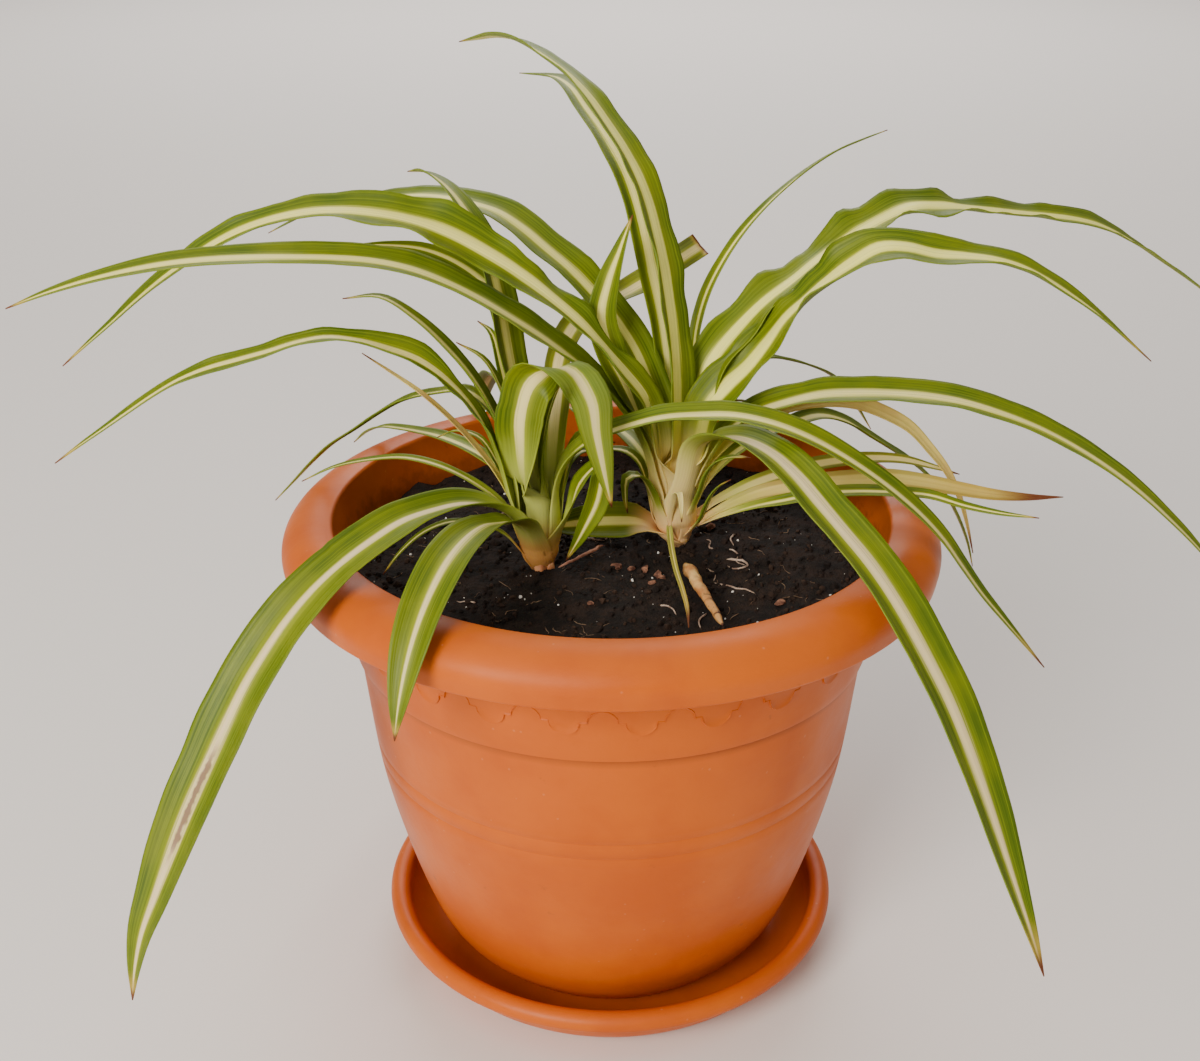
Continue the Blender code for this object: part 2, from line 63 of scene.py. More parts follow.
MM = 0.001  # lengths below are in millimetres times MM, because Blender's unit is the metre
UP = Vector((0, 0, 1))
noise.seed_set(3)  # without it noise_vector is drawn anew in each run


# %% New meshes and objects
def new_mesh(name, bm):
    """A mesh from a bmesh that isn't needed any more."""
    mesh = bpy.data.meshes.new(name)
    bm.to_mesh(mesh)
    bm.free()
    return mesh


def new_object(name, data):
    """An object in the scene for a mesh, a lamp or a camera."""
    thing = bpy.data.objects.new(name, data)
    bpy.context.collection.objects.link(thing)
    return thing


# %% [markdown]
# ## Camera, light and floor
#
# The plant is seen from in front and a little above, as it is when a person sits at the table it stands
# on. A 45 mm lens on a 36 mm wide sensor keeps the pot's circles true. The light is that of a bright
# room: one large soft window on the left, in front of the plant, a weak light that fills the shadows
# from the right, light thrown down by the ceiling, the glow of a pale wall behind the plant, and an even
# light from all round. Large lamps are used because a small one would draw a hard shadow of every leaf.

# %% Camera
CAMERA_PLACE = (-4.3 * MM, -525 * MM, 428 * MM)
CAMERA_TILT = 65  # degrees up from straight down
CAMERA_LENS = 45

camera_data = bpy.data.cameras.new("camera")
camera_data.lens = CAMERA_LENS
camera = new_object("camera", camera_data)
camera.location = CAMERA_PLACE
camera.rotation_euler = (math.radians(CAMERA_TILT), 0, 0)
bpy.context.scene.camera = camera
print(f"camera looks {90 - CAMERA_TILT} degrees down from {tuple(camera.location)}")


# %% Lights
def soft_light(name, place, size, power, colour, aim=(0, 0, 0.16)):
    """A square area lamp that faces the middle of the plant, or another aim."""
    data = bpy.data.lights.new(name, "AREA")
    data.size = size
    data.energy = power
    data.color = colour
    lamp = new_object(name, data)
    lamp.location = place
    towards = Vector(aim) - lamp.location
    lamp.rotation_euler = towards.to_track_quat("-Z", "Y").to_euler()


soft_light("window", (-0.85, -1.4, 1.05), size=0.8, power=39, colour=(1, 0.955, 0.88))
soft_light("fill", (1.5, -0.7, 0.9), size=1.4, power=1.5, colour=(1, 0.94, 0.88))
soft_light("ceiling", (-0.3, -0.3, 1.9), size=1.6, power=7, colour=(1, 0.97, 0.92))
soft_light("wall glow", (0, 3.6, 2.6), size=3, power=130, colour=(1, 0.97, 0.95), aim=(0, 3.0, 0))

world = bpy.data.worlds.new("room")
world.use_nodes = True
world.node_tree.nodes["Background"].inputs["Color"].default_value = (0.88, 0.85, 0.82, 1)
world.node_tree.nodes["Background"].inputs["Strength"].default_value = 0.4
bpy.context.scene.world = world

# %% [markdown]
# ## Writing materials
#
# A material is a small graph of nodes. Adding a node, setting its fields and wiring its sockets takes
# many lines when each is written out, so a few helpers do it in one call. `add` makes any node, and a
# value that is itself a socket is wired instead of set. An effect that several finishes share, such as
# the grain of moulded plastic, is a node group: it is drawn once and placed wherever it is needed.


# %% Adding nodes
def put(tree, value, socket):
    """Wires a value that is a socket itself, and sets any other value."""
    if isinstance(value, bpy.types.NodeSocket):
        tree.links.new(value, socket)
    else:
        socket.default_value = value


def add(tree, kind, inputs=None, **fields):
    """A new shader node. Each input is a value to set or a socket to wire to it."""
    node = tree.nodes.new("ShaderNode" + kind)
    for field, value in fields.items():
        setattr(node, field, value)
    for label, value in (inputs or {}).items():
        put(tree, value, node.inputs[label])
    return node


def calc(tree, operation, *values):
    """The result of a Math node on up to three values."""
    return add(tree, "Math", dict(enumerate(values)), operation=operation).outputs[0]


# %% Colours, masks and noise
def blend(tree, share, first, second):
    """A colour between two colours, by a share that is a value or a mask."""
    inputs = {"Factor": share, "A": first, "B": second}
    node = add(tree, "Mix", data_type="RGBA")
    for socket in node.inputs:
        if socket.enabled:
            put(tree, inputs[socket.name], socket)
    return next(socket for socket in node.outputs if socket.enabled)


def fade(tree, value, start, end, low=0.0, high=1.0):
    """Runs smoothly from low to high as the value runs from start to end."""
    inputs = {"Value": value, "From Min": start, "From Max": end, "To Min": low, "To Max": high}
    return add(tree, "MapRange", inputs, interpolation_type="SMOOTHSTEP").outputs["Result"]


def noise_value(tree, place, scale, detail=2.0, roughness=0.5):
    inputs = {"Vector": place, "Scale": scale, "Detail": detail, "Roughness": roughness}
    return add(tree, "TexNoise", inputs).outputs["Fac"]


def xyz(tree, vector):
    """The three parts of a vector."""
    return add(tree, "SeparateXYZ", {"Vector": vector}).outputs


def attribute(tree, name):
    """A vector that the mesh carries."""
    return add(tree, "Attribute", attribute_name=name).outputs["Vector"]


# %% Node groups
def new_group(name, inputs, outputs):
    """An empty node group, its input sockets and its output sockets."""
    group = bpy.data.node_groups.new(name, "ShaderNodeTree")
    for label, (kind, value) in inputs.items():
        socket = group.interface.new_socket(label, in_out="INPUT", socket_type="NodeSocket" + kind)
        if kind == "Float":
            socket.default_value = value
    for label, kind in outputs.items():
        group.interface.new_socket(label, in_out="OUTPUT", socket_type="NodeSocket" + kind)
    inside = group.nodes.new("NodeGroupInput").outputs
    outside = group.nodes.new("NodeGroupOutput").inputs
    return group, inside, outside


def place_group(tree, group, inputs):
    return add(tree, "Group", inputs, node_tree=group).outputs


# %% Materials
def roughen(tree, shader, height, strength, depth):
    """Tilts the shader's normal by a height, without moving the surface."""
    inputs = {"Height": height, "Strength": strength, "Distance": depth}
    tree.links.new(add(tree, "Bump", inputs).outputs["Normal"], shader["Normal"])


def new_material(name, roughness, **sockets):
    """A material, its node tree, its Principled shader's inputs and its Object coordinates."""
    material = bpy.data.materials.new(name)
    material.use_nodes = True
    tree = material.node_tree
    shader = tree.nodes["Principled BSDF"].inputs
    shader["Roughness"].default_value = roughness
    for label, value in sockets.items():
        shader[label.replace("_", " ")].default_value = value
    place = add(tree, "TexCoord").outputs["Object"]
    return material, tree, shader, place


def rgb(red, green, blue):
    """A shader colour from display values of 0 to 255."""
    linear = [(c / 255 / 12.92) if c <= 10 else ((c / 255 + 0.055) / 1.055) ** 2.4
              for c in (red, green, blue)]
    return (*linear, 1)

# %% [markdown]
# ## Terracotta-coloured plastic
#
# The pot and the saucer are moulded from one dyed plastic. It looks even from afar, but close up it
# shows three things: a fine grain from the mould's skin, cloudy patches where the dye is a little
# denser, and dull specks of dust and dried water. Each is a node group. They read Object coordinates, in
# metres, so a scale of 1000 means one wave in each millimetre.

# %% Shared surface effects
GRAIN = new_group(
    "fine_grain",
    {"Place": ("Vector", None), "Fine": ("Float", 2200.0), "Broad": ("Float", 260.0)},
    {"Height": "Float"},
)


def draw_grain(group, inside, outside):
    """Pits a few tenths of a millimetre wide on waves ten times as broad."""
    pits = noise_value(group, inside["Place"], inside["Fine"], detail=3)
    waves = noise_value(group, inside["Place"], inside["Broad"], detail=2)
    height = calc(group, "MULTIPLY_ADD", waves, 3.0, pits)
    group.links.new(height, outside["Height"])


CLOUDS = new_group(
    "dye_clouds",
    {"Place": ("Vector", None), "Scale": ("Float", 22.0), "Colour": ("Color", None),
     "Other": ("Color", None)},
    {"Colour": "Color"},
)


def draw_clouds(group, inside, outside):
    """Soft patches of a second colour."""
    cloud = noise_value(group, inside["Place"], inside["Scale"], detail=4, roughness=0.6)
    share = fade(group, cloud, 0.36, 0.68)
    group.links.new(blend(group, share, inside["Colour"], inside["Other"]), outside["Colour"])


SPECKS = new_group(
    "specks",
    {"Place": ("Vector", None), "Scale": ("Float", 400.0), "Share": ("Float", 0.1)},
    {"Mask": "Float"},
)


def draw_specks(group, inside, outside):
    """Round spots, one in some of the cells of a grid of random cells."""
    inputs = {"Vector": inside["Place"], "Scale": inside["Scale"]}
    cells = add(group, "TexVoronoi", inputs).outputs
    spot = fade(group, cells["Distance"], 0.12, 0.28, 1, 0)
    chance = add(group, "SeparateColor", {"Color": cells["Color"]}).outputs["Red"]
    chosen = calc(group, "LESS_THAN", chance, inside["Share"])
    group.links.new(calc(group, "MULTIPLY", spot, chosen), outside["Mask"])


for (group, inside, outside), draw in ((GRAIN, draw_grain), (CLOUDS, draw_clouds), (SPECKS, draw_specks)):
    draw(group, inside, outside)
    print(f"group {group.name}: {len(group.nodes)} nodes")


# %% Placing the shared effects
def grained(tree, place, fine=2200.0, broad=260.0):
    inputs = {"Place": place, "Fine": fine, "Broad": broad}
    return place_group(tree, GRAIN[0], inputs)["Height"]


def clouded(tree, place, scale, colour, other):
    inputs = {"Place": place, "Scale": scale, "Colour": colour, "Other": other}
    return place_group(tree, CLOUDS[0], inputs)["Colour"]


def speckled(tree, place, scale, share):
    inputs = {"Place": place, "Scale": scale, "Share": share}
    return place_group(tree, SPECKS[0], inputs)["Mask"]


# %% [markdown]
# Handling leaves small brown marks on the plastic, and the soil leaves a brown film on the inner wall
# just above it. The film is a mask made from the height and from an attribute that marks the inner
# wall, so it stays where it belongs.


# %% The plastic of the pot and the saucer
def plastic(name, colour, denser, film_height=None):
    """Moulded plastic. Where a film height is given, soil stains the inner wall up to there."""
    material, tree, shader, place = new_material(name, 0.44, Specular_IOR_Level=0.23)
    base = clouded(tree, place, 18.0, colour, denser)
    dust = speckled(tree, place, 420.0, 0.03)
    marks = noise_value(tree, place, 95.0, detail=4, roughness=0.65)
    marks = fade(tree, marks, 0.67, 0.78, 0, 0.5)
    base = blend(tree, marks, base, rgb(120, 62, 38))
    base = blend(tree, calc(tree, "MULTIPLY", dust, 0.12), base, rgb(226, 190, 160))
    if film_height:
        inner = add(tree, "Attribute", attribute_name="inner_wall").outputs["Fac"]
        height = xyz(tree, place)["Z"]
        ragged = calc(tree, "MULTIPLY_ADD", noise_value(tree, place, 260.0, detail=5), -18 * MM, 9 * MM)
        height = calc(tree, "ADD", height, ragged)
        film = fade(tree, height, film_height - 7 * MM, film_height + 4 * MM, 1, 0)
        film = calc(tree, "MULTIPLY", calc(tree, "MULTIPLY", film, inner), 0.5)
        base = blend(tree, film, base, rgb(84, 44, 26))
    tree.links.new(base, shader["Base Color"])
    wet = noise_value(tree, place, 34.0, detail=3)
    tree.links.new(fade(tree, wet, 0.3, 0.7, 0.36, 0.5), shader["Roughness"])
    roughen(tree, shader, grained(tree, place), 0.24, 0.12 * MM)
    return material


TERRACOTTA = rgb(202, 96, 16)
DENSER_DYE = rgb(190, 85, 13)

# %% [markdown]
# ## The pot
#
# The real pot is blown or pressed in a mould that is round, so almost all of it is one outline turned
# about the upright axis. In Blender that is a `spin` of a chain of points: foot ring, body, a band that
# stands a little proud, the hollow under the rolled rim, the roll itself and the inside wall. A short
# curve through a few points gives the body its belly, and elliptical arcs round the rim.


# %% Curves and arcs
def smooth_line(points, count, measure=3):
    """Evenly spaced rows on a Catmull-Rom curve through the rows given. The first few columns, the
    measure, say how far apart two rows are."""
    points = np.asarray(points, float)
    knots = np.vstack([2 * points[0] - points[1], points, 2 * points[-1] - points[-2]])
    t = np.linspace(0, 1, 24, endpoint=False)[:, None]
    spans = [
        0.5 * (2 * b + (c - a) * t + (2 * a - 5 * b + 4 * c - d) * t**2 + (3 * b - a - 3 * c + d) * t**3)
        for a, b, c, d in zip(knots, knots[1:], knots[2:], knots[3:])
    ]
    curve = np.vstack([*spans, points[-1]])
    steps = np.linalg.norm(np.diff(curve[:, :measure], axis=0), axis=1)
    walked = np.concatenate([[0], steps.cumsum()])
    stops = np.linspace(0, walked[-1], count)
    return np.stack([np.interp(stops, walked, column) for column in curve.T], axis=1)


def arc(centre, radii, start, end, count):
    """Points of an elliptical arc, angles in degrees from the outward axis."""
    turns = np.radians(np.linspace(start, end, count))
    return [(centre[0] + radii[0] * math.cos(a), centre[1] + radii[1] * math.sin(a)) for a in turns]


# %% Sizes of the pot, from the frame
pot_low, pot_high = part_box("pot")
FOOT = pot_low.z
CREST = pot_high.z
RIM = pot_high.x  # outer radius of the rolled rim
MOUTH = RIM - 19.6 * MM
WALL = 3 * MM
BAND_FOOT = CREST - 51.5 * MM  # where the band under the rim ends in a step
BODY = np.array([(58, FOOT / MM), (64, 8.5), (74, 22), (83.6, 50), (93, 90), (97.6, 130),
                 (98.8, BAND_FOOT / MM)]) * MM
BODY_LINE = smooth_line(BODY, 200, measure=2)
BAND = np.array([(100.5, BAND_FOOT / MM + 1), (102.8, 160), (105.6, 178), (107.2, 187)]) * MM
print(f"pot {2 * RIM / MM:.0f} mm across the rim, {(CREST - FOOT) / MM:.0f} mm high")


def body_radius(height):
    return float(np.interp(height, BODY_LINE[:, 1], BODY_LINE[:, 0]))


def band_radius(height):
    return float(np.interp(height, BAND[:, 1], BAND[:, 0]))


# %% [markdown]
# Two fine grooves run round the body, and the band carries a relief: the plastic above a wavy line
# stands well under a millimetre proud of the plastic below it. The line is a row of half circles, one down
# and one up, with a short level nick between them, and the step has a fine bead along its edge. A wave
# can't be spun, so the outline gets four close rows where the step will be, and afterwards each column
# of the mesh is slid until those rows lie on the wave. The columns are spun evenly and then moved closer
# where the half circles are steep.

# %% The wavy relief
WAVES = 25
WAVE_START = math.radians(-90 + 5.3)  # the middle of a downward half circle
ARC_COLUMNS = 8
NICK_COLUMNS = 2
COLUMNS = 2 * WAVES * (ARC_COLUMNS + NICK_COLUMNS)
RELIEF = 0.42 * MM
BEAD = ((-0.35, 0), (0.0, 1.6), (0.3, 1.6), (0.65, 1))  # mm over the line, height as a share of the relief
RELIEF_LEVEL = CREST - 34.3 * MM  # height of the nicks
RELIEF_LOW = RELIEF_LEVEL - 13 * MM
RELIEF_HIGH = RELIEF_LEVEL + 15 * MM
WAVE_WIDTH = 2 * math.pi * band_radius(RELIEF_LEVEL) / WAVES
NICK = 2.4 * MM
ARC_RADIUS = (WAVE_WIDTH / 2 - NICK) / 2


# %% Sliding the columns on to the wave
def raised_by(offset):
    """How far the band stands out at a height over the line."""
    heights, shares = zip(*BEAD)
    return RELIEF * float(np.interp(offset / MM, heights, shares))


def wave_columns():
    """(share of one wave, height over the nicks) of the columns of one wave."""
    columns = []
    for side, middle in ((-1, 0), (1, WAVE_WIDTH / 2)):
        for step in range(ARC_COLUMNS):
            turn = math.pi * step / ARC_COLUMNS
            across = middle - ARC_RADIUS * math.cos(turn)
            columns.append((across / WAVE_WIDTH, side * ARC_RADIUS * math.sin(turn)))
        for step in range(NICK_COLUMNS):
            across = middle + ARC_RADIUS + NICK * step / NICK_COLUMNS
            columns.append((across / WAVE_WIDTH, 0))
    return columns


def carve_relief(bm):
    """Moves the evenly spun columns of one wave to their places, and slides the band's rows on to
    its line."""
    wave = wave_columns()
    wave.append((1 + wave[0][0], wave[0][1]))
    for vert in bm.verts:
        radius = math.hypot(vert.co.x, vert.co.y)
        if radius < 1e-5:
            continue
        column = round(math.atan2(vert.co.y, vert.co.x) / (2 * math.pi) * COLUMNS)
        share, rise = wave[column]
        height = vert.co.z
        if RELIEF_LOW < height < RELIEF_HIGH and radius > band_radius(height) - 1 * MM:
            raised = raised_by(height - RELIEF_LEVEL)
            fixed = RELIEF_HIGH if height > RELIEF_LEVEL else RELIEF_LOW
            height = fixed + (height - fixed) * (RELIEF_LEVEL + rise - fixed) / (RELIEF_LEVEL - fixed)
            radius = band_radius(height) + raised
        angle = WAVE_START + 2 * math.pi * share / WAVES
        vert.co = (radius * math.cos(angle), radius * math.sin(angle), height)


# %% The pot's outline
GROOVES = (98.4 * MM, 105.3 * MM)
GROOVE_DEPTH = 0.28 * MM
LIP = 2.4 * MM  # thickness of the rolled rim
ROLL = (RIM - 15 * MM, CREST - 11 * MM)  # centre of the roll
LIP_FOOT = CREST - 17 * MM
INNER_FLOOR = FOOT + 4.8 * MM


def body_rows():
    """Up the outside of the body, with the grooves cut in."""
    rows = [tuple(row) for row in smooth_line(BODY, 40, measure=2)]
    rows = [(r, z) for r, z in rows if min(abs(z - groove) for groove in GROOVES) > 1.5 * MM]
    for groove in GROOVES:
        for offset, depth in ((-0.7, 0), (-0.25, 1), (0.25, 1), (0.7, 0)):
            height = groove + offset * MM
            rows.append((body_radius(height) - depth * GROOVE_DEPTH, height))
    return sorted(rows, key=lambda row: row[1])


def band_rows():
    """The step under the band, rounded on its edge, and the band with its relief rows."""
    step = BAND_FOOT
    rows = [(98.95 * MM, step + 0.1 * MM), (99.9 * MM, step + 0.2 * MM), (100.3 * MM, step + 0.45 * MM),
            (100.5 * MM, step + 1 * MM), (band_radius(RELIEF_LOW), RELIEF_LOW)]
    for share in (0.35, 0.7, 0.9):
        height = RELIEF_LOW + share * (RELIEF_LEVEL - RELIEF_LOW)
        rows.append((band_radius(height), height))
    for offset, _ in BEAD:
        height = RELIEF_LEVEL + offset * MM
        rows.append((band_radius(height) + raised_by(offset * MM), height))
    for share in (0.25, 0.6, 1):
        height = RELIEF_LEVEL + share * (RELIEF_HIGH - RELIEF_LEVEL)
        rows.append((band_radius(height) + RELIEF, height))
    return rows


# %% The rim and the inside
def rim_rows():
    """The hollow under the roll, round its lip, over the crest and down into the mouth."""
    wide = RIM - ROLL[0]
    high = CREST - ROLL[1]
    hollow = arc(ROLL, (wide - LIP, high - LIP), 85, 0, 12)
    lip = arc((RIM - 0.7 * MM - LIP / 2, LIP_FOOT + LIP / 2), (LIP / 2, LIP / 2), 180, 360, 9)
    roll = arc(ROLL, (wide, high), -5, 92, 26)
    mouth = arc((MOUTH + 1.6 * MM, CREST - 1.7 * MM), (1.6 * MM, 1.6 * MM), 95, 180, 7)
    return [(106.4 * MM, ROLL[1] + 3 * MM), *hollow, *lip, *roll, *mouth]


def inside_rows():
    """Down the inside, a wall's thickness behind the outside, to the floor."""
    wall = [(r - WALL, z) for r, z in [*BODY[3:], *BAND[1:]]][::-1]
    wall = [tuple(row) for row in smooth_line(wall, 22, measure=2)]
    return [*wall, (75 * MM, 31 * MM), (69 * MM, 20 * MM), (62 * MM, INNER_FLOOR + 2.5 * MM),
            (56 * MM, INNER_FLOOR)]


# %% [markdown]
# The underside stands on a ring, and its floor has six shallow round knock-outs that a gardener can
# push out for drainage. They are cut with a Boolean, because discs cross the columns of a spun mesh.


# %% Spinning an outline
def sector(profile, columns, copies):
    """The (radius, height) outline spun through one of several equal shares of a full turn."""
    bm = bmesh.new()
    points = [bm.verts.new((radius, 0, height)) for radius, height in profile]
    chain = [bm.edges.new(pair) for pair in zip(points, points[1:])]
    bmesh.ops.spin(
        bm, geom=points + chain, cent=(0, 0, 0), axis=UP, angle=2 * math.pi / copies,
        steps=columns // copies,
    )
    return bm


def repeat_round(bm, copies):
    """Repeats a sector round the axis, and closes its seams and its poles."""
    bmesh.ops.spin(
        bm, geom=[*bm.verts, *bm.edges, *bm.faces], cent=(0, 0, 0), axis=UP,
        angle=2 * math.pi * (copies - 1) / copies, steps=copies - 1, use_duplicate=True,
    )
    bmesh.ops.remove_doubles(bm, verts=bm.verts, dist=1e-6)
    bmesh.ops.recalc_face_normals(bm, faces=bm.faces)
    return bm


def spun(profile, columns, copies=16):
    """A closed shell from an outline whose two ends lie on the axis."""
    return repeat_round(sector(profile, columns, copies), copies)


# %% Adding a piece
def add_piece(name, bm, finish, stands_for=None, crease=None):
    """The finished mesh as an object on the model's one body. It may stand for a CAD node."""
    mesh = new_mesh(name, bm)
    mesh.shade_smooth()
    if crease:
        mesh.set_sharp_from_angle(angle=math.radians(crease))
    mesh.materials.append(finish)
    piece = new_object(name, mesh)
    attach(piece, "root")
    if stands_for:
        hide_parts(stands_for)
    return piece


# %% Knock-outs
KNOCK_OUTS = 6
KNOCK_OUT_RING = 32 * MM  # how far their middles are from the axis
KNOCK_OUT_RADII = (5.2 * MM, 5 * MM)  # at the cutter's lower and upper end
KNOCK_OUT_CUTTER = 2.4 * MM  # twice the depth, because half of the cutter lies below the floor


def cut_knock_outs(pot, floor):
    """Shallow discs out of the underside, by a Boolean that is applied at once."""
    lower, upper = KNOCK_OUT_RADII
    bm = bmesh.new()
    for turn in range(KNOCK_OUTS):
        angle = math.radians(360 / KNOCK_OUTS * turn)
        place = Vector((KNOCK_OUT_RING * math.cos(angle), KNOCK_OUT_RING * math.sin(angle), floor))
        bmesh.ops.create_cone(
            bm, cap_ends=True, segments=40, radius1=lower, radius2=upper, depth=KNOCK_OUT_CUTTER,
            matrix=Matrix.Translation(place),
        )
    cutter = new_object("knock_out_cutter", new_mesh("knock_out_cutter", bm))
    cut = pot.modifiers.new("knock-outs", "BOOLEAN")
    cut.operation = "DIFFERENCE"
    cut.object = cutter
    bpy.context.view_layer.update()
    done = bpy.data.meshes.new_from_object(pot.evaluated_get(bpy.context.evaluated_depsgraph_get()))
    pot.modifiers.remove(cut)
    pot.data = done
    bpy.data.objects.remove(cutter)


# %% Spinning the pot
pot_floor = FOOT + 1.8 * MM
outline = [(0, pot_floor), (20 * MM, pot_floor), (44 * MM, pot_floor), (48 * MM, pot_floor),
           (49 * MM, FOOT + 0.3 * MM), (49.6 * MM, FOOT), *body_rows(), *band_rows(), *rim_rows(),
           *inside_rows(), (0, INNER_FLOOR)]
pot_bm = sector(outline, COLUMNS, WAVES)
carve_relief(pot_bm)
repeat_round(pot_bm, WAVES)
inner_wall = pot_bm.verts.layers.float.new("inner_wall")
for vert in pot_bm.verts:
    outside_at = band_radius if vert.co.z > BAND_FOOT else body_radius
    if vert.co.z > FOOT + WALL and math.hypot(vert.co.x, vert.co.y) < outside_at(vert.co.z) - 1.5 * MM:
        vert[inner_wall] = 1
pot_plastic = plastic("pot plastic", TERRACOTTA, DENSER_DYE, film_height=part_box("soil")[1].z + 6 * MM)
pot = add_piece("pot_shell", pot_bm, pot_plastic, "pot", crease=38)
cut_knock_outs(pot, pot_floor)
print(f"pot: {len(outline)} rows, {COLUMNS} columns, {len(pot.data.polygons)} faces")

# %% [markdown]
# ## The saucer
#
# The saucer is a shallow dish of the same plastic. Its wall leans out and ends in a small roll. It is
# spun in the same way, from its own outline.

# %% Spinning the saucer
saucer_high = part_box("saucer")[1]
SAUCER = saucer_high.x
SAUCER_TOP = saucer_high.z
SAUCER_FLOOR = 2.5 * MM
SAUCER_COLUMNS = 256

outside_curve = np.array([(72, 0), (77.5, 1.6), (83, 6.2), (87.4, 12), (90.2, 17)]) * MM
inside_curve = np.array([(85.9, 23.2), (84.6, 14), (80.6, 8), (75, 4), (70, 2.5)]) * MM
roll = arc((SAUCER - 4.2 * MM, SAUCER_TOP - 4 * MM), (4.2 * MM, 4 * MM), -38, 150, 22)
outline = [
    (0, 0), (40 * MM, 0), (70 * MM, 0),
    *map(tuple, smooth_line(outside_curve, 16, measure=2)),
    *roll,
    *map(tuple, smooth_line(inside_curve, 18, measure=2)[1:]),
    (40 * MM, SAUCER_FLOOR), (0, SAUCER_FLOOR),
]
saucer_plastic = plastic("saucer plastic", TERRACOTTA, DENSER_DYE)
saucer = add_piece(
    "saucer_dish", spun(outline, SAUCER_COLUMNS), saucer_plastic, "saucer", crease=50
)
print(f"saucer: {len(outline)} rows, {len(saucer.data.polygons)} faces")

# %% [markdown]
# ## Potting soil
#
# Potting soil is peat: crumbs of every size from dust up to clods of a few millimetres, nearly black
# where it is moist, with white grains of perlite and short pale fibres. One bumpy surface can't show
# that, so it is built in layers. A bed of fine humps fills the pot, crumbs lie half sunk in the bed, and
# the perlite, the fibres and the bits of bark lie on top. There are thousands of crumbs, so each has
# only twenty faces.


# %% Soil finishes
def earth(name, dark, light, scale, roughness=0.92):
    """Peat: two browns in patches, with a rough broken surface."""
    material, tree, shader, place = new_material(name, roughness, Specular_IOR_Level=0.25)
    tree.links.new(clouded(tree, place, scale, dark, light), shader["Base Color"])
    roughen(tree, shader, grained(tree, place, 1500.0, 500.0), 0.7, 0.5 * MM)
    return material


soil_dark = earth("moist peat", rgb(22, 16, 13), rgb(44, 31, 24), 130.0)
soil_crumb = earth("peat crumbs", rgb(26, 19, 16), rgb(62, 44, 33), 90.0)
perlite_white = earth("perlite", rgb(206, 200, 190), rgb(238, 236, 230), 300.0, roughness=0.8)
fibre_pale = earth("peat fibre", rgb(92, 68, 50), rgb(152, 124, 98), 240.0, roughness=0.7)
rootlet_pale = earth("rootlet", rgb(132, 104, 88), rgb(204, 180, 160), 260.0, roughness=0.55)

# %% The bed of soil
SOIL_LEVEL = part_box("soil")[1].z - 1.2 * MM
SOIL_COLUMNS = 300
SOIL_RINGS = 58


def soil_height(x, y):
    """Height of the bed's surface: broad swells, humps and small lumps, and a ragged bank at the wall."""
    place = Vector((x, y, 0.37))
    at_wall = min(max((math.hypot(x, y) - 84 * MM) / (12 * MM), 0), 1) ** 2
    bank = at_wall * max(0, 1.2 + 4 * noise.noise(place * 60))
    swell = noise.noise(place * 24) * 1.5 + noise.noise(place * 75) * 1.3
    lumps = noise.noise(place * 210) * 0.8 + abs(noise.noise(place * 520)) * 0.6
    return SOIL_LEVEL + (swell + lumps + bank - 0.5) * MM


wall_rows = [(r - 0.4 * MM, z) for r, z in inside_rows() if z < SOIL_LEVEL - 2 * MM]
edge_radius = wall_rows[0][0] + 0.1 * MM
rings = [(edge_radius * step / SOIL_RINGS, SOIL_LEVEL) for step in range(SOIL_RINGS, -1, -1)]
soil_bm = spun([(0, wall_rows[-1][1] + 0.4 * MM), *wall_rows[::-1], *rings], SOIL_COLUMNS)
for vert in soil_bm.verts:
    if vert.co.z > SOIL_LEVEL - 0.5 * MM:
        vert.co.z = soil_height(vert.co.x, vert.co.y)
soil_bed = add_piece("soil_bed", soil_bm, soil_dark, "soil")
print(f"soil bed: {len(soil_bed.data.polygons)} faces, level {SOIL_LEVEL / MM:.1f} mm")


# %% Crumbs and perlite
BATCH = 65  # grains made at a time, because each operator call walks the whole mesh it is given


def scatter(name, count, smallest, largest, finish, seed, rough=0.25, sunk=0.3, faces=1):
    """Angular grains on the soil, small ones far more often than large ones."""
    dice = random.Random(seed)
    whole = bmesh.new()
    for first in range(0, count, BATCH):
        bm = bmesh.new()
        for _ in range(min(BATCH, count - first)):
            reach = (edge_radius - largest) * math.sqrt(dice.random())
            angle = dice.uniform(0, 2 * math.pi)
            x, y = reach * math.cos(angle), reach * math.sin(angle)
            size = smallest + (largest - smallest) * dice.random() ** 4
            stretch = Matrix.Diagonal((*(size * dice.uniform(0.6, 1.1) for _ in range(3)), 1))
            turn = Matrix.Rotation(dice.uniform(0, 6.28), 4, Vector([dice.gauss(0, 1) for _ in range(3)]))
            grain = bmesh.ops.create_icosphere(bm, subdivisions=faces, radius=0.5, matrix=turn @ stretch)
            lift = Vector((x, y, soil_height(x, y) + size * (0.5 - sunk)))
            for vert in grain["verts"]:
                vert.co = vert.co * dice.uniform(1 - rough, 1 + rough) + lift
        batch = new_mesh("batch", bm)
        whole.from_mesh(batch)
        bpy.data.meshes.remove(batch)
    piece = add_piece(name, whole, finish, crease=25)
    print(f"{name}: {count} grains, {len(piece.data.polygons)} faces")


scatter("soil_crumbs", 2600, 0.7 * MM, 3.2 * MM, soil_crumb, seed=4)
scatter("soil_clods", 260, 2.2 * MM, 6 * MM, soil_dark, seed=5, rough=0.12, sunk=0.5, faces=2)
scatter("perlite_grains", 150, 0.4 * MM, 1.7 * MM, perlite_white, seed=6, sunk=0.2)

# %% [markdown]
# Fibres, rootlets, roots and the stems of the crowns are all tubes. A tube could be a curve with a
# bevel, but a strip of grid rolled round a path gives the same result with closed, pointed ends and a
# radius that can change anywhere, which a knobbly root needs.


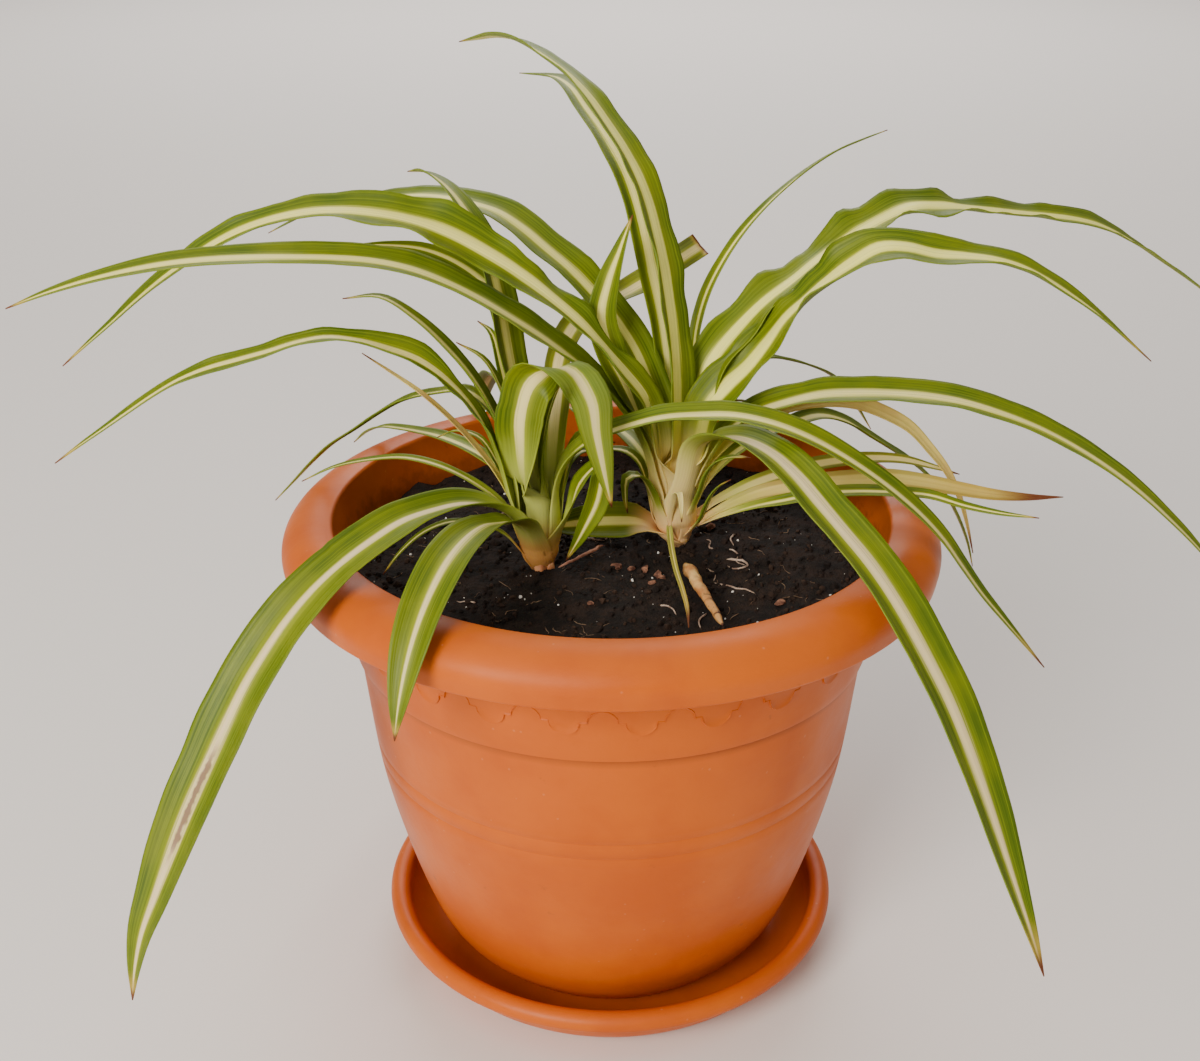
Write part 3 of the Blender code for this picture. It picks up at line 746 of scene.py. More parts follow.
# %% Rolling a grid into a tube
def roll_tube(bm, path, radius_at, sides):
    """Rolls a new grid round the path. radius_at gives the radius from the shares of length and turn."""
    ahead = np.gradient(path, axis=0)
    ahead /= np.linalg.norm(ahead, axis=1, keepdims=True)
    across = np.cross(ahead[0], (0.31, 0.17, 0.93))
    frames = []
    for forward in ahead:
        across = across - forward * (across @ forward)
        across = across / np.linalg.norm(across)
        frames.append((across, np.cross(forward, across)))
    rows = len(path) - 1
    strip = bmesh.ops.create_grid(bm, x_segments=sides, y_segments=rows, size=1)["verts"]
    for vert in strip:
        row = round((vert.co.y + 1) / 2 * rows)
        angle = (vert.co.x + 1) * math.pi
        radius = 0 if row in (0, rows) else radius_at(row / rows, angle)
        side, top = frames[row]
        vert.co = Vector(path[row] + radius * (side * math.cos(angle) + top * math.sin(angle)))
    bmesh.ops.remove_doubles(bm, verts=strip, dist=1e-7)


# %% Fibres and rootlets on the soil
def lay_on_soil(points, lift):
    """A path over the soil through (x, y) points in millimetres."""
    flat = smooth_line(np.array(points) * MM, 12, measure=2)
    return np.array([(x, y, soil_height(x, y) + lift) for x, y in flat])


def wandering(dice, x, y, length, wander):
    """(x, y) points, in millimetres, of a thread that wanders off from a place."""
    heading = dice.uniform(0, 2 * math.pi)
    points = [(x, y)]
    for _ in range(4):
        heading += dice.uniform(-wander, wander)
        x, y = x + length / 4 * math.cos(heading), y + length / 4 * math.sin(heading)
        points.append((x, y))
    return points


def threads(name, count, lengths, radius, finish, seed, wander, given=()):
    dice = random.Random(seed)
    bm = bmesh.new()
    routes = list(given)
    while len(routes) < count:
        reach = (edge_radius / MM - 12) * math.sqrt(dice.random())
        angle = dice.uniform(0, 2 * math.pi)
        length = dice.uniform(*lengths)
        routes.append(wandering(dice, reach * math.cos(angle), reach * math.sin(angle), length, wander))
    for route in routes:
        thick = radius * dice.uniform(0.6, 1.2)
        path = lay_on_soil(route, thick * dice.uniform(0.4, 1.6))
        roll_tube(bm, path, lambda t, a, thick=thick: thick * (1 - 0.5 * t), sides=6)
    bmesh.ops.recalc_face_normals(bm, faces=bm.faces)
    add_piece(name, bm, finish)
    print(f"{name}: {len(routes)} threads")


threads("soil_fibres", 120, (3, 9), 0.17 * MM, fibre_pale, seed=8, wander=0.7)
threads("rootlets", 16, (8, 16), 0.45 * MM, rootlet_pale, seed=9, wander=1.1, given=[
    [(36, -14), (39, -20), (38, -26)], [(38, -27), (44, -31), (51, -36), (53, -41)],
    [(45, 2), (49, -4), (48, -10), (51, -15)], [(44, -8), (50, -9), (52, -14), (47, -17), (44, -13)],
    [(49, 14), (47, 8), (48, 3)], [(37, -62), (40, -67), (42, -74)], [(37, -63), (36, -69), (38, -75)],
    [(34, -50), (31, -55), (31, -61)]])

# %% Bits of bark
BARK_BITS = [(2, -13, 3.6), (7, -14, 3.2), (13, -13, 4), (18, -20, 5), (15, -26, 2.8), (61, -43, 4),
             (-52, 30, 5), (-8, -44, 2.4), (40, 22, 4.2)]  # x, y and size in mm
bark_bit = earth("bark", rgb(84, 50, 38), rgb(158, 112, 88), 330.0, roughness=0.8)
dice = random.Random(31)
bm = bmesh.new()
for x, y, size in BARK_BITS:
    stretch = Matrix.Diagonal((size * MM, 0.7 * size * MM, 0.5 * size * MM, 1))
    turn = Matrix.Rotation(dice.uniform(0, 3.1), 4, "Z")
    bit = bmesh.ops.create_icosphere(bm, subdivisions=2, radius=0.5, matrix=turn @ stretch)["verts"]
    lift = Vector((x * MM, y * MM, soil_height(x * MM, y * MM) + 0.16 * size * MM))
    for vert in bit:
        vert.co = vert.co * (1 + 1.1 * noise.noise(vert.co * 520 + lift * 900)) + lift
add_piece("bark_bits", bm, bark_bit, crease=25)
print(f"bark_bits: {len(BARK_BITS)} bits")

# %% [markdown]
# ## Roots that show
#
# A spider plant stores water in fleshy roots. One of them lies bare in front of the right-hand crown,
# nearly as thick as a pencil at its top and brown and cracked where its skin has dried, and a thinner one
# joins the two crowns. Their places are read from the CAD tubes: the middle of each ring of vertices is a
# point of the path.


# %% Root finish and paths
def root_finish(name, flesh, bark, roughness, dry_from=None):
    """Root skin. In front of dry_from, where one is given, it has dried brown and cracked in rings."""
    material, tree, shader, place = new_material(name, roughness, Subsurface_Weight=0.08)
    shader["Subsurface Scale"].default_value = 2 * MM
    base = clouded(tree, place, 120.0, flesh, bark)
    if dry_from:
        forward = xyz(tree, place)["Y"]
        dried = fade(tree, forward, dry_from - 26 * MM, dry_from, 1, 0)
        lengthwise = add(tree, "Mapping", {"Vector": place, "Scale": (90, 430, 90)}).outputs[0]
        rings = fade(tree, noise_value(tree, lengthwise, 1.0, detail=1), 0.5, 0.62)
        base = blend(tree, calc(tree, "MULTIPLY", dried, 0.6), base, bark)
        base = blend(tree, calc(tree, "MULTIPLY", dried, rings), base, rgb(82, 46, 28))
    spots = speckled(tree, place, 700.0, 0.25)
    base = blend(tree, calc(tree, "MULTIPLY", spots, 0.7), base, rgb(74, 46, 30))
    tree.links.new(base, shader["Base Color"])
    roughen(tree, shader, grained(tree, place, 1200.0, 380.0), 0.45, 0.3 * MM)
    return material


def tube_path(node):
    """The middles of a CAD tube's rings of vertices, from its back end to its front end."""
    bm = bmesh.new()
    bm.from_mesh(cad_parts[node].data)
    bmesh.ops.remove_doubles(bm, verts=bm.verts, dist=2e-6)
    points = np.array([vert.co for vert in bm.verts])
    bm.free()
    length = np.linalg.svd(points - points.mean(0))[2][0]
    if length[1] > 0:
        length = -length
    points = points[np.argsort(points @ length)]
    gaps = np.flatnonzero(np.diff(points @ length) > 3 * MM) + 1
    return np.array([ring.mean(0) for ring in np.split(points, gaps)])


root_skin = root_finish("root skin", rgb(236, 194, 122), rgb(180, 114, 58), 0.55, dry_from=-30 * MM)
twig_skin = root_finish("dry root", rgb(206, 150, 122), rgb(138, 84, 62), 0.7)


# %% The two roots
def knobbly(thick, taper, seed):
    """The radius of a root: it tapers, with knuckles along it and lumps round it."""
    def radius(along, angle):
        knuckle = 1 + 0.1 * noise.noise(Vector((along * 9, seed, 0)))
        round_it = (math.cos(angle) * 1.4, math.sin(angle) * 1.4 + seed)
        lump = 1 + 0.14 * noise.noise(Vector((along * 14, *round_it)))
        ends = min(1, 6 * along, 9 * (1 - along)) ** 0.5
        return thick * (1 - taper * along) * knuckle * lump * ends
    return radius


def add_root(name, node, finish, thick, taper, seed, wander):
    path = smooth_line(tube_path(node), 60)
    for step, place in enumerate(path):
        bends = noise.noise_vector(Vector((step * 0.11, seed, 0)))
        place += wander * math.sin(math.pi * step / (len(path) - 1)) * np.array(bends) * (1, 1, 0.5)
    bm = bmesh.new()
    roll_tube(bm, path, knobbly(thick, taper, seed), sides=20)
    bmesh.ops.recalc_face_normals(bm, faces=bm.faces)
    add_piece(name, bm, finish, node)
    print(f"{name}: {np.linalg.norm(np.diff(path, axis=0), axis=1).sum() / MM:.0f} mm long")


add_root("bare_root", "root_surface", root_skin, 2.8 * MM, 0.62, 2.0, wander=0.8 * MM)
add_root("dry_root", "root_twig", twig_skin, 0.7 * MM, 0.3, 5.0, wander=1.6 * MM)

# %% [markdown]
# ## Reading the leaves
#
# In the CAD model a leaf is a strip of stations, and each station is a ring of six vertices: the left
# margin, the midrib and the right margin, on the upper and on the lower face. The tip is a single short
# edge. Walking outwards from that edge, one ring of neighbours at a time, gives the stations in order.
# Within a ring the six points are sorted along their longest direction, which runs across the blade.


# %% Stations of a CAD leaf
def rings_from(start):
    """The vertices around the start, one step further each time."""
    rings, seen = [list(start)], set(start)
    while rings[-1]:
        ring = []
        for vert in rings[-1]:
            for edge in vert.link_edges:
                other = edge.other_vert(vert)
                if other not in seen:
                    seen.add(other)
                    ring.append(other)
        rings.append(ring)
    return rings[:-1]


def leaf_stations(node):
    """Midrib, left margin and right margin at each station from the crown to the tip, as rows of
    nine numbers. Seen from its upper face with the tip ahead, the left margin is on the left."""
    bm = bmesh.new()
    bm.from_mesh(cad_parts[node].data)
    bmesh.ops.remove_doubles(bm, verts=bm.verts, dist=2e-6)
    short_edges = [edge for edge in bm.edges if edge.calc_length() < 1 * MM]
    for edge in short_edges:
        rings = rings_from(edge.verts)
        if all(len(ring) == 6 for ring in rings[1:]):
            break
    rows, across = [], None
    for ring in rings[:0:-1]:
        points = np.array([vert.co for vert in ring])
        longest = np.linalg.svd(points - points.mean(0))[2][0]
        if across is not None and longest @ across < 0:
            longest = -longest
        across = longest
        left, rib, right = points[np.argsort(points @ across)].reshape(3, 2, 3).mean(1)
        rows.append(np.concatenate([rib, left, right]))
    tip = np.mean([vert.co for vert in rings[0]], axis=0)
    bm.free()
    rows = np.array([*rows, np.concatenate([tip] * 3)])
    rib, left, right = rows[:, :3], rows[:, 3:6], rows[:, 6:]
    upper = np.cross(right - left, np.gradient(rib, axis=0))
    if np.sum(upper * ((left + right) / 2 - rib)) < 0:
        rows = np.concatenate([rib, right, left], axis=1)
    return rows


# %% Reading every leaf
leaf_nodes = sorted(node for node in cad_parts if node.startswith("leaf_"))
stations = {node: leaf_stations(node) for node in leaf_nodes}
lengths = {
    node: np.linalg.norm(np.diff(rows[:, :3], axis=0), axis=1).sum() for node, rows in stations.items()
}
longest_leaf = max(lengths, key=lengths.get)
print(f"{len(stations)} leaves, the longest is {longest_leaf}, {lengths[longest_leaf] / MM:.0f} mm")

# %% [markdown]
# ## The stripes
#
# A leaf of this plant has green margins and a cream stripe along its middle. The stripe isn't painted
# on: it is tissue without green in it, and its edge follows the veins, so it breaks up into thin
# parallel lines. The pattern has to run along each leaf however it bends, so the mesh carries it in
# attributes. `blade` holds the place across the leaf, from -1 at one margin to 1 at the other, the
# distance from the crown and the distance to the tip. `traits` holds what differs from leaf to leaf: the
# stripe's share of the width, how yellow the leaf has turned, and a number of its own for the noise.
# `ends` holds the length of the pale base, its blush, and the length of the dry tip. `tone` holds the
# warmth of the cream, and where a dark scar in it starts and ends.

# %% Stripe pattern
STRIPES = new_group(
    "leaf_stripes",
    {"Blade": ("Vector", None), "Traits": ("Vector", None)},
    {"Cream": "Float", "Edge": "Float", "Streaks": "Float", "Veins": "Float"},
)


def draw_stripes(group, inside, outside):
    across, along, _ = xyz(group, inside["Blade"])
    share, _, own = xyz(group, inside["Traits"])

    def streaks(fine, slow, shift, detail):
        """Noise drawn out along the leaf into streaks."""
        place = {"X": calc(group, "MULTIPLY", across, fine), "Y": calc(group, "MULTIPLY", along, slow),
                 "Z": calc(group, "MULTIPLY_ADD", own, 37.0, shift)}
        return noise_value(group, add(group, "CombineXYZ", place).outputs[0], 1.0, detail, 0.6)

    broad = streaks(3.2, 9.0, 0.0, 2.0)
    fine = streaks(17.0, 7.0, 4.0, 2.0)
    lines = streaks(34.0, 5.0, 9.0, 1.0)
    wander = calc(group, "MULTIPLY_ADD", broad, 0.5, -0.25)
    ragged = calc(group, "MULTIPLY_ADD", fine, 0.22, -0.11)
    offset = calc(group, "ADD", wander, ragged)
    reach = calc(group, "SUBTRACT", calc(group, "ABSOLUTE", across), share)
    reach = calc(group, "ADD", reach, offset)
    cream = fade(group, reach, -0.06, 0.05, 1, 0)
    green_lines = calc(group, "MULTIPLY", fade(group, lines, 0.6, 0.7), 0.35)
    cream = calc(group, "MULTIPLY", cream, calc(group, "SUBTRACT", 1.0, green_lines))
    edge = calc(group, "MULTIPLY", fade(group, reach, -0.16, -0.02), fade(group, reach, 0.02, 0.22, 1, 0))
    veins = calc(group, "SINE", calc(group, "MULTIPLY", across, 46.0))
    group.links.new(cream, outside["Cream"])
    group.links.new(edge, outside["Edge"])
    group.links.new(fine, outside["Streaks"])
    group.links.new(calc(group, "ADD", veins, calc(group, "MULTIPLY", lines, 1.5)), outside["Veins"])


draw_stripes(*STRIPES)


# %% Scar, foot and tip of a leaf
def scar_mask(tree, place, across, along, start, end):
    """A ragged patch along the midrib, between two distances from the crown."""
    scar = calc(tree, "ABSOLUTE", calc(tree, "ADD", across, 0.04))
    scar = calc(tree, "MULTIPLY_ADD", noise_value(tree, place, 260.0), 0.3, scar)
    scar = fade(tree, scar, 0.2, 0.3, 0.8, 0)
    for first, last in ((along, start), (end, along)):
        inwards = calc(tree, "SUBTRACT", first, last)  # how far inside this end of the scar
        scar = calc(tree, "MULTIPLY", scar, fade(tree, inwards, 0.0, 12 * MM))
    return scar


def pale_foot(tree, place, base, along, pale, blush, patches):
    """Pales the colour towards the crown, blushes it on the crown and browns it at the soil."""
    from_crown = calc(tree, "DIVIDE", along, pale)
    pale_zone = fade(tree, from_crown, 0.3, 1.0, 0.65, 0)
    base = blend(tree, pale_zone, base, rgb(190, 200, 78))
    neck = fade(tree, from_crown, 0.1, 0.65, 0.92, 0)
    base = blend(tree, neck, base, blend(tree, blush, rgb(188, 192, 100), rgb(254, 228, 150)))
    height = xyz(tree, place)["Z"]
    raised = calc(tree, "MULTIPLY_ADD", patches, 9 * MM, calc(tree, "SUBTRACT", height, SOIL_LEVEL))
    at_crown = fade(tree, along, 3 * MM, 14 * MM, 1, 0)
    collar = calc(tree, "MULTIPLY", fade(tree, raised, 10 * MM, 28 * MM, 0.85, 0), at_crown)
    base = blend(tree, collar, base, blend(tree, blush, rgb(220, 146, 78), rgb(244, 194, 130)))
    foot = calc(tree, "MULTIPLY", fade(tree, raised, 4 * MM, 8 * MM, 0.75, 0), at_crown)
    return blend(tree, foot, base, rgb(96, 56, 36))


def dry_tip(tree, base, beyond, dry, streaks):
    """Yellows the colour ahead of the dry tip, and browns the tip itself."""
    ragged = calc(tree, "MULTIPLY_ADD", streaks, 0.8, 0.6)
    dead = calc(tree, "DIVIDE", beyond, calc(tree, "MULTIPLY", dry, ragged))
    withered = fade(tree, dead, 0.35, 1.1, 1, 0)
    yellowed = fade(tree, dead, 1.0, 2.4, 0.6, 0)
    base = blend(tree, yellowed, base, rgb(196, 160, 70))
    return blend(tree, withered, base, rgb(112, 60, 34))


# %% Leaf finishes
def leaf_finish(name, margin, deep, cool_cream, warm_cream, roughness, gloss):
    """A striped face of a leaf. The upper and the lower face differ in colour and gloss."""
    material, tree, shader, place = new_material(
        name, roughness, Specular_IOR_Level=gloss, Subsurface_Weight=0.2
    )
    shader["Subsurface Scale"].default_value = 1.2 * MM
    shader["Subsurface Radius"].default_value = (0.8, 1.0, 0.1)
    blade, traits = attribute(tree, "blade"), attribute(tree, "traits")
    across, along, beyond = xyz(tree, blade)
    _, age, _ = xyz(tree, traits)
    pale, blush, dry = xyz(tree, attribute(tree, "ends"))
    warmth, scar_start, scar_end = xyz(tree, attribute(tree, "tone"))
    stripes = place_group(tree, STRIPES[0], {"Blade": blade, "Traits": traits})
    streaks = stripes["Streaks"]
    patches = noise_value(tree, place, 45.0, detail=3)
    green = blend(tree, fade(tree, streaks, 0.35, 0.65), deep, margin)
    green = blend(tree, fade(tree, patches, 0.35, 0.7, 0, 0.4), green, rgb(132, 138, 14))
    cream = blend(tree, warmth, cool_cream, warm_cream)
    base = blend(tree, stripes["Cream"], green, cream)
    base = blend(tree, calc(tree, "MULTIPLY", stripes["Edge"], 0.35), base, rgb(180, 184, 40))
    withering = blend(tree, fade(tree, patches, 0.35, 0.7), rgb(226, 198, 104), rgb(202, 160, 88))
    base = blend(tree, age, base, withering)
    scar = scar_mask(tree, place, across, along, scar_start, scar_end)
    base = blend(tree, scar, base, rgb(112, 74, 66))
    base = pale_foot(tree, place, base, along, pale, blush, patches)
    base = dry_tip(tree, base, beyond, dry, streaks)
    tree.links.new(base, shader["Base Color"])
    ribs = calc(tree, "MULTIPLY_ADD", noise_value(tree, place, 2600.0), 0.6, stripes["Veins"])
    roughen(tree, shader, ribs, 0.22, 0.06 * MM)
    return material


leaf_upper = leaf_finish(
    "leaf upper face", rgb(108, 124, 17), rgb(72, 92, 9), rgb(236, 212, 164), rgb(252, 244, 130),
    roughness=0.45, gloss=0.22,
)
leaf_under = leaf_finish(
    "leaf lower face", rgb(122, 138, 48), rgb(98, 118, 34), rgb(214, 196, 150), rgb(222, 212, 122),
    roughness=0.55, gloss=0.18,
)

# %% [markdown]
# ## The crowns
#
# A crown is a short stem wrapped in leaf bases, each clasping the ones inside it. Under the bases there
# is hardly anything to see, so the stem itself is a plain tapered core, read from the CAD crown. What
# the eye sees is made with the leaves: each blade runs down below the place where it leaves the stem
# and curls round it as a sheath.


# %% The shape of a crown
def crown_profile(node):
    """The axis of a CAD crown, and its radius at each height."""
    points = np.array([vert.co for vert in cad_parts[node].data.vertices])
    low, high = points.min(0), points.max(0)
    axis = (low[:2] + high[:2]) / 2
    reach = np.linalg.norm(points[:, :2] - axis, axis=1)
    heights = np.unique(np.round(points[:, 2], 5))
    radii = np.array([reach[np.isclose(points[:, 2], height, atol=2e-5)].max() for height in heights])
    return axis, heights, radii


def soft_step(value, start, end):
    share = min(max((value - start) / (end - start), 0), 1)
    return share * share * (3 - 2 * share)


crowns = {side: crown_profile(f"crown_{side}") for side in ("left", "right")}
WAIST = {"left": 0.36, "right": 0.42}  # a crown's width at the soil, as a share of the CAD crown's
LEAN = {"left": np.array((0.3, -0.5)) * MM, "right": np.array((2.4, 0.4)) * MM}  # of its foot


def crown_axis(side, height):
    """The middle of a crown at a height. Its foot stands a little aside of its top."""
    return crowns[side][0] + LEAN[side] * (1 - soft_step(height, SOIL_LEVEL, SOIL_LEVEL + 20 * MM))


def crown_radius(side, height):
    """The radius of a crown's stem at a height. It narrows to its foot and to its top."""
    _, heights, radii = crowns[side]
    waist = WAIST[side] + (1 - WAIST[side]) * soft_step(height, SOIL_LEVEL - 1 * MM, SOIL_LEVEL + 14 * MM)
    neck = 1 - 0.55 * soft_step(height, heights[-1] - 16 * MM, heights[-1])
    return float(np.interp(height, heights[1:-1], radii[1:-1])) * waist * neck


# %% Crown cores
def crown_finish(name, flesh, skin):
    """Pale, moist tissue with faint upright ribs."""
    material, tree, shader, place = new_material(name, 0.5, Subsurface_Weight=0.2)
    shader["Subsurface Scale"].default_value = 2 * MM
    stretched = add(tree, "Mapping", {"Vector": place, "Scale": (1, 1, 0.12)}).outputs[0]
    tree.links.new(clouded(tree, stretched, 420.0, flesh, skin), shader["Base Color"])
    roughen(tree, shader, grained(tree, stretched, 1500.0, 500.0), 0.4, 0.3 * MM)
    return material


crown_flesh = {
    "left": crown_finish("left crown", rgb(214, 146, 78), rgb(178, 100, 52)),
    "right": crown_finish("right crown", rgb(234, 208, 150), rgb(206, 156, 104)),
}
CORE_LEVELS = 40
CORE_SHARE = 0.94  # the stem's radius as a share of the crown's

for side, (_, heights, radii) in crowns.items():
    levels = np.linspace(heights[0], heights[-1], CORE_LEVELS)
    path = np.array([(*crown_axis(side, level), level) for level in levels])
    bm = bmesh.new()

    def core(along, angle, side=side, levels=levels):
        around = Vector((math.cos(angle), math.sin(angle), along * 5))
        ribs = 1 + 0.05 * math.sin(7 * angle + 9 * along) + 0.08 * noise.noise(around)
        return crown_radius(side, levels[round(along * (CORE_LEVELS - 1))]) * CORE_SHARE * ribs

    roll_tube(bm, path, core, sides=48)
    bmesh.ops.recalc_face_normals(bm, faces=bm.faces)
    add_piece(f"stem_{side}", bm, crown_flesh[side], f"crown_{side}")
    print(f"crown {side}: {radii.max() / MM:.1f} mm radius, top at {heights[-1] / MM:.0f} mm")

# %% [markdown]
# At soil level the oldest leaf bases have dried to brown papery scales, and new roots push out of the
# left crown as two pale nubs. A scale is a small grid, bent round the foot and torn at its top.

# %% Papery scales and root nubs
papery = crown_finish("papery scales", rgb(150, 96, 60), rgb(88, 52, 34))
dice = random.Random(12)
bm = bmesh.new()
for side in ("left",) * 5 + ("right",) * 5:
    middle = dice.uniform(0, 2 * math.pi)
    half_turn = dice.uniform(0.15, 0.4)
    tall = dice.uniform(1.5, 4.5) * MM
    flare = dice.uniform(0.3, 2.2) * MM
    for vert in bmesh.ops.create_grid(bm, x_segments=8, y_segments=7, size=1)["verts"]:
        across, up = vert.co.x, (vert.co.y + 1) / 2
        torn = 1 - 0.5 * across**2 + 0.7 * noise.noise(Vector((across * 2.6, middle * 9, 0)))
        height = SOIL_LEVEL - 2 * MM + (tall + 2 * MM) * up * torn
        reach = crown_radius(side, height) + 1.1 * MM + flare * up**2
        angle = middle + across * half_turn * (1 - 0.3 * up)
        axis = crown_axis(side, height)
        vert.co = Vector((axis[0] + reach * math.cos(angle), axis[1] + reach * math.sin(angle), height))
scales = add_piece("old_scales", bm, papery)
skin = scales.modifiers.new("thickness", "SOLIDIFY")
skin.thickness = 0.25 * MM

bm = bmesh.new()
for x, y, size in ((-26.8, -16.2, 4.6), (-23.2, -15.4, 3.6)):
    place = Matrix.Translation((x * MM, y * MM, SOIL_LEVEL + 1 * MM))
    stretch = Matrix.Diagonal((size * MM, size * MM, 1.2 * size * MM, 1))
    nub = bmesh.ops.create_icosphere(bm, subdivisions=4, radius=0.5, matrix=place @ stretch)["verts"]
    for vert in nub:
        vert.co += 0.5 * MM * noise.noise_vector(vert.co * 420)
add_piece("root_nubs", bm, root_finish("root nub", rgb(222, 160, 108), rgb(178, 104, 60), 0.5))
print(f"old_scales: {len(scales.data.polygons)} faces")

# %% [markdown]
# ## The blades
#
# Every leaf is one flat grid, bent to its stations. A smooth curve through the stations gives a row
# every few millimetres. Across each row the blade is a shallow channel: the midrib is rounded instead
# of creased, each half bulges a little, and the margins waver, because they grow faster than the
# middle. Near the crown the row stops being a channel and wraps round the stem, and a few extra rows
# carry it down as the sheath. The lower leaves are older, so their sheaths lie outside the others. A
# blade may also turn about its midrib: the one that is folded over turns right round at the top of its
# arch. A Solidify modifier gives the blade its thickness, and the lower face its own finish.

# %% What differs in shape from leaf to leaf
BASE_WIDTH = 0.6  # of a blade's full width where it leaves the crown
BROAD_BASES = {"left_fold_over": 1.0, "right_ruffled_lower": 0.72, "right_ruffled_upper": 0.7,
               "right_arch_tall": 0.72, "right_short_left": 0.75}
COMMON_SHAPE = (1, 0, 0, 0)
LEAF_SHAPES = {
    # name: factor on the width, extra share of width towards the tip, turn about the midrib in degrees
    # on the first half and on the rest
    "right_foot_front": (0.48, 0, 0, 0),
    "right_spire_right": (0.8, 0, 0, 0),
    "right_loop_back_right": (0.8, 0, 0, 0),
    "right_sliver_front": (0.6, 0, 0, 0),
    "right_short_left": (1.3, 0, -20, -20),
    "right_ruffled_lower": (1.06, -0.1, -14, 4),
    "right_ruffled_upper": (1, -0.2, -14, 8),
    "right_low_yellow": (1.3, 0, 40, 40),
    "right_low_pale": (1.2, 0, 35, 35),
    "right_low_green": (1.1, 0, 25, 25),
    "right_faded_right": (1.1, 0, 40, 40),
    "right_droop_front_right": (1.05, 0.35, 0, 0),
    "left_droop_front_left": (1.05, 0.55, -14, -14),
    "left_short_front_left": (1, 0.3, 0, 0),
    "left_fold_over": (1.15, 0, 36, 188),  # it is folded over, and hangs with its lower face in front
}
TURN_CHANGES = {"left_fold_over": 0.54}  # share of the length, for a leaf that doesn't change at a half
SNIPPED = {"left_leaning_back"}  # leaves whose tip is cut off

# %% What differs in colour from leaf to leaf
PALE_BASE = 40 * MM
PALE_BASES = {"right_short_left": 7 * MM, "right_droop_front_right": 56 * MM,
              "right_sliver_front": 90 * MM}
COMMON_TRAITS = (0.27, 0.7, 0, 3, 0.16)
LEAF_TRAITS = {
    # name: stripe share, warmth of the cream, yellowing, dry tip in mm, ruffle
    "right_arch_tall": (0.36, 1, 0, 4, 0.35),
    "right_ruffled_upper": (0.3, 1, 0, 5, 0.65),
    "right_ruffled_lower": (0.28, 1, 0, 8, 0.7),
    "right_arch_left_ruffled": (0.3, 0.9, 0, 6, 0.75),
    "right_arch_left_high": (0.26, 0.8, 0, 4, 0.2),
    "right_arch_left_low": (0.26, 0.7, 0, 4, 0.2),
    "right_arch_right": (0.28, 0.6, 0, 5, 0.18),
    "right_droop_front_right": (0.27, 0.1, 0, 9, 0.14),
    "right_spire_right": (0.2, 0.8, 0, 3, 0.1),
    "right_faded_right": (0.9, 0.6, 0.85, 12, 0.14),
    "right_low_yellow": (0.6, 0.8, 0.6, 30, 0.3),
    "right_low_pale": (0.5, 0.5, 0.15, 6, 0.14),
    "right_foot_front": (0.16, 0.6, 0.35, 16, 0.5),
    "right_sliver_front": (0.95, 0.6, 0.2, 2, 0.1),
    "right_short_left": (0.26, 0.8, 0, 2, 0.1),
    "left_leaning_back": (0.36, 0.3, 0.1, 1, 0.1),
    "left_thin_tan": (0.5, 0.5, 0.9, 8, 0.14),
    "left_droop_front_left": (0.19, 0, 0, 5, 0.12),
    "left_arch_right_low": (0.26, 0.6, 0, 9, 0.14),
    "left_short_front_left": (0.12, 0.2, 0, 3, 0.08),
    "left_ruffled_left": (0.3, 0.6, 0, 6, 0.7),
    "left_fold_over": (0.22, 0.4, 0, 3, 0.3),
    "left_nod_front": (0.17, 0.5, 0, 3, 0.08),
}
SCARS = {"left_droop_front_left": (162 * MM, 212 * MM)}  # from and to, along the leaf


# %% The width and the turn of a blade
def shape_blade(free, name):
    """Broadens the first third of a blade, where the CAD strip is kept narrow to clear the others,
    and gives it what sets it apart: its fullness, its turn, a cut tip."""
    width, outer, turn, later_turn = LEAF_SHAPES.get(name, COMMON_SHAPE)
    change = TURN_CHANGES.get(name, 0.5)
    base = BROAD_BASES.get(name, BASE_WIDTH)
    rib = free[:, :3]
    sides = [free[:, 3:6] - rib, free[:, 6:] - rib]
    half = np.linalg.norm(sides[0] - sides[1], axis=1) / 2
    share = np.linspace(0, 1, len(free))
    broad = half.max() * (base + (1 - base) * np.minimum(share / 0.35, 1) ** 0.8)
    factor = np.where(share < 0.35, np.maximum(broad / np.maximum(half, 0.1 * MM), 1), 1)
    factor = factor * width * (1 + outer * np.clip((share - 0.35) / 0.45, 0, 1))
    ahead = np.gradient(rib, axis=0)
    ahead /= np.linalg.norm(ahead, axis=1, keepdims=True)
    angle = turn * np.clip((share - 0.08) / 0.2, 0, 1)
    angle = angle + (later_turn - turn) * np.clip((share - change) / 0.18 + 0.5, 0, 1)
    angle = np.radians(angle)[:, None]
    shaped = [rib]
    for side in sides:
        if name in SNIPPED:
            whole = int(0.86 * len(side))
            side[whole:] = side[whole - 1]
        turned = side * np.cos(angle) + np.cross(ahead, side) * np.sin(angle)
        shaped.append(rib + turned * factor[:, None])
    return np.hstack(shaped)


# %% Rows of a blade
ROW_LENGTH = 2.6 * MM
SHEATH_ROWS = 9


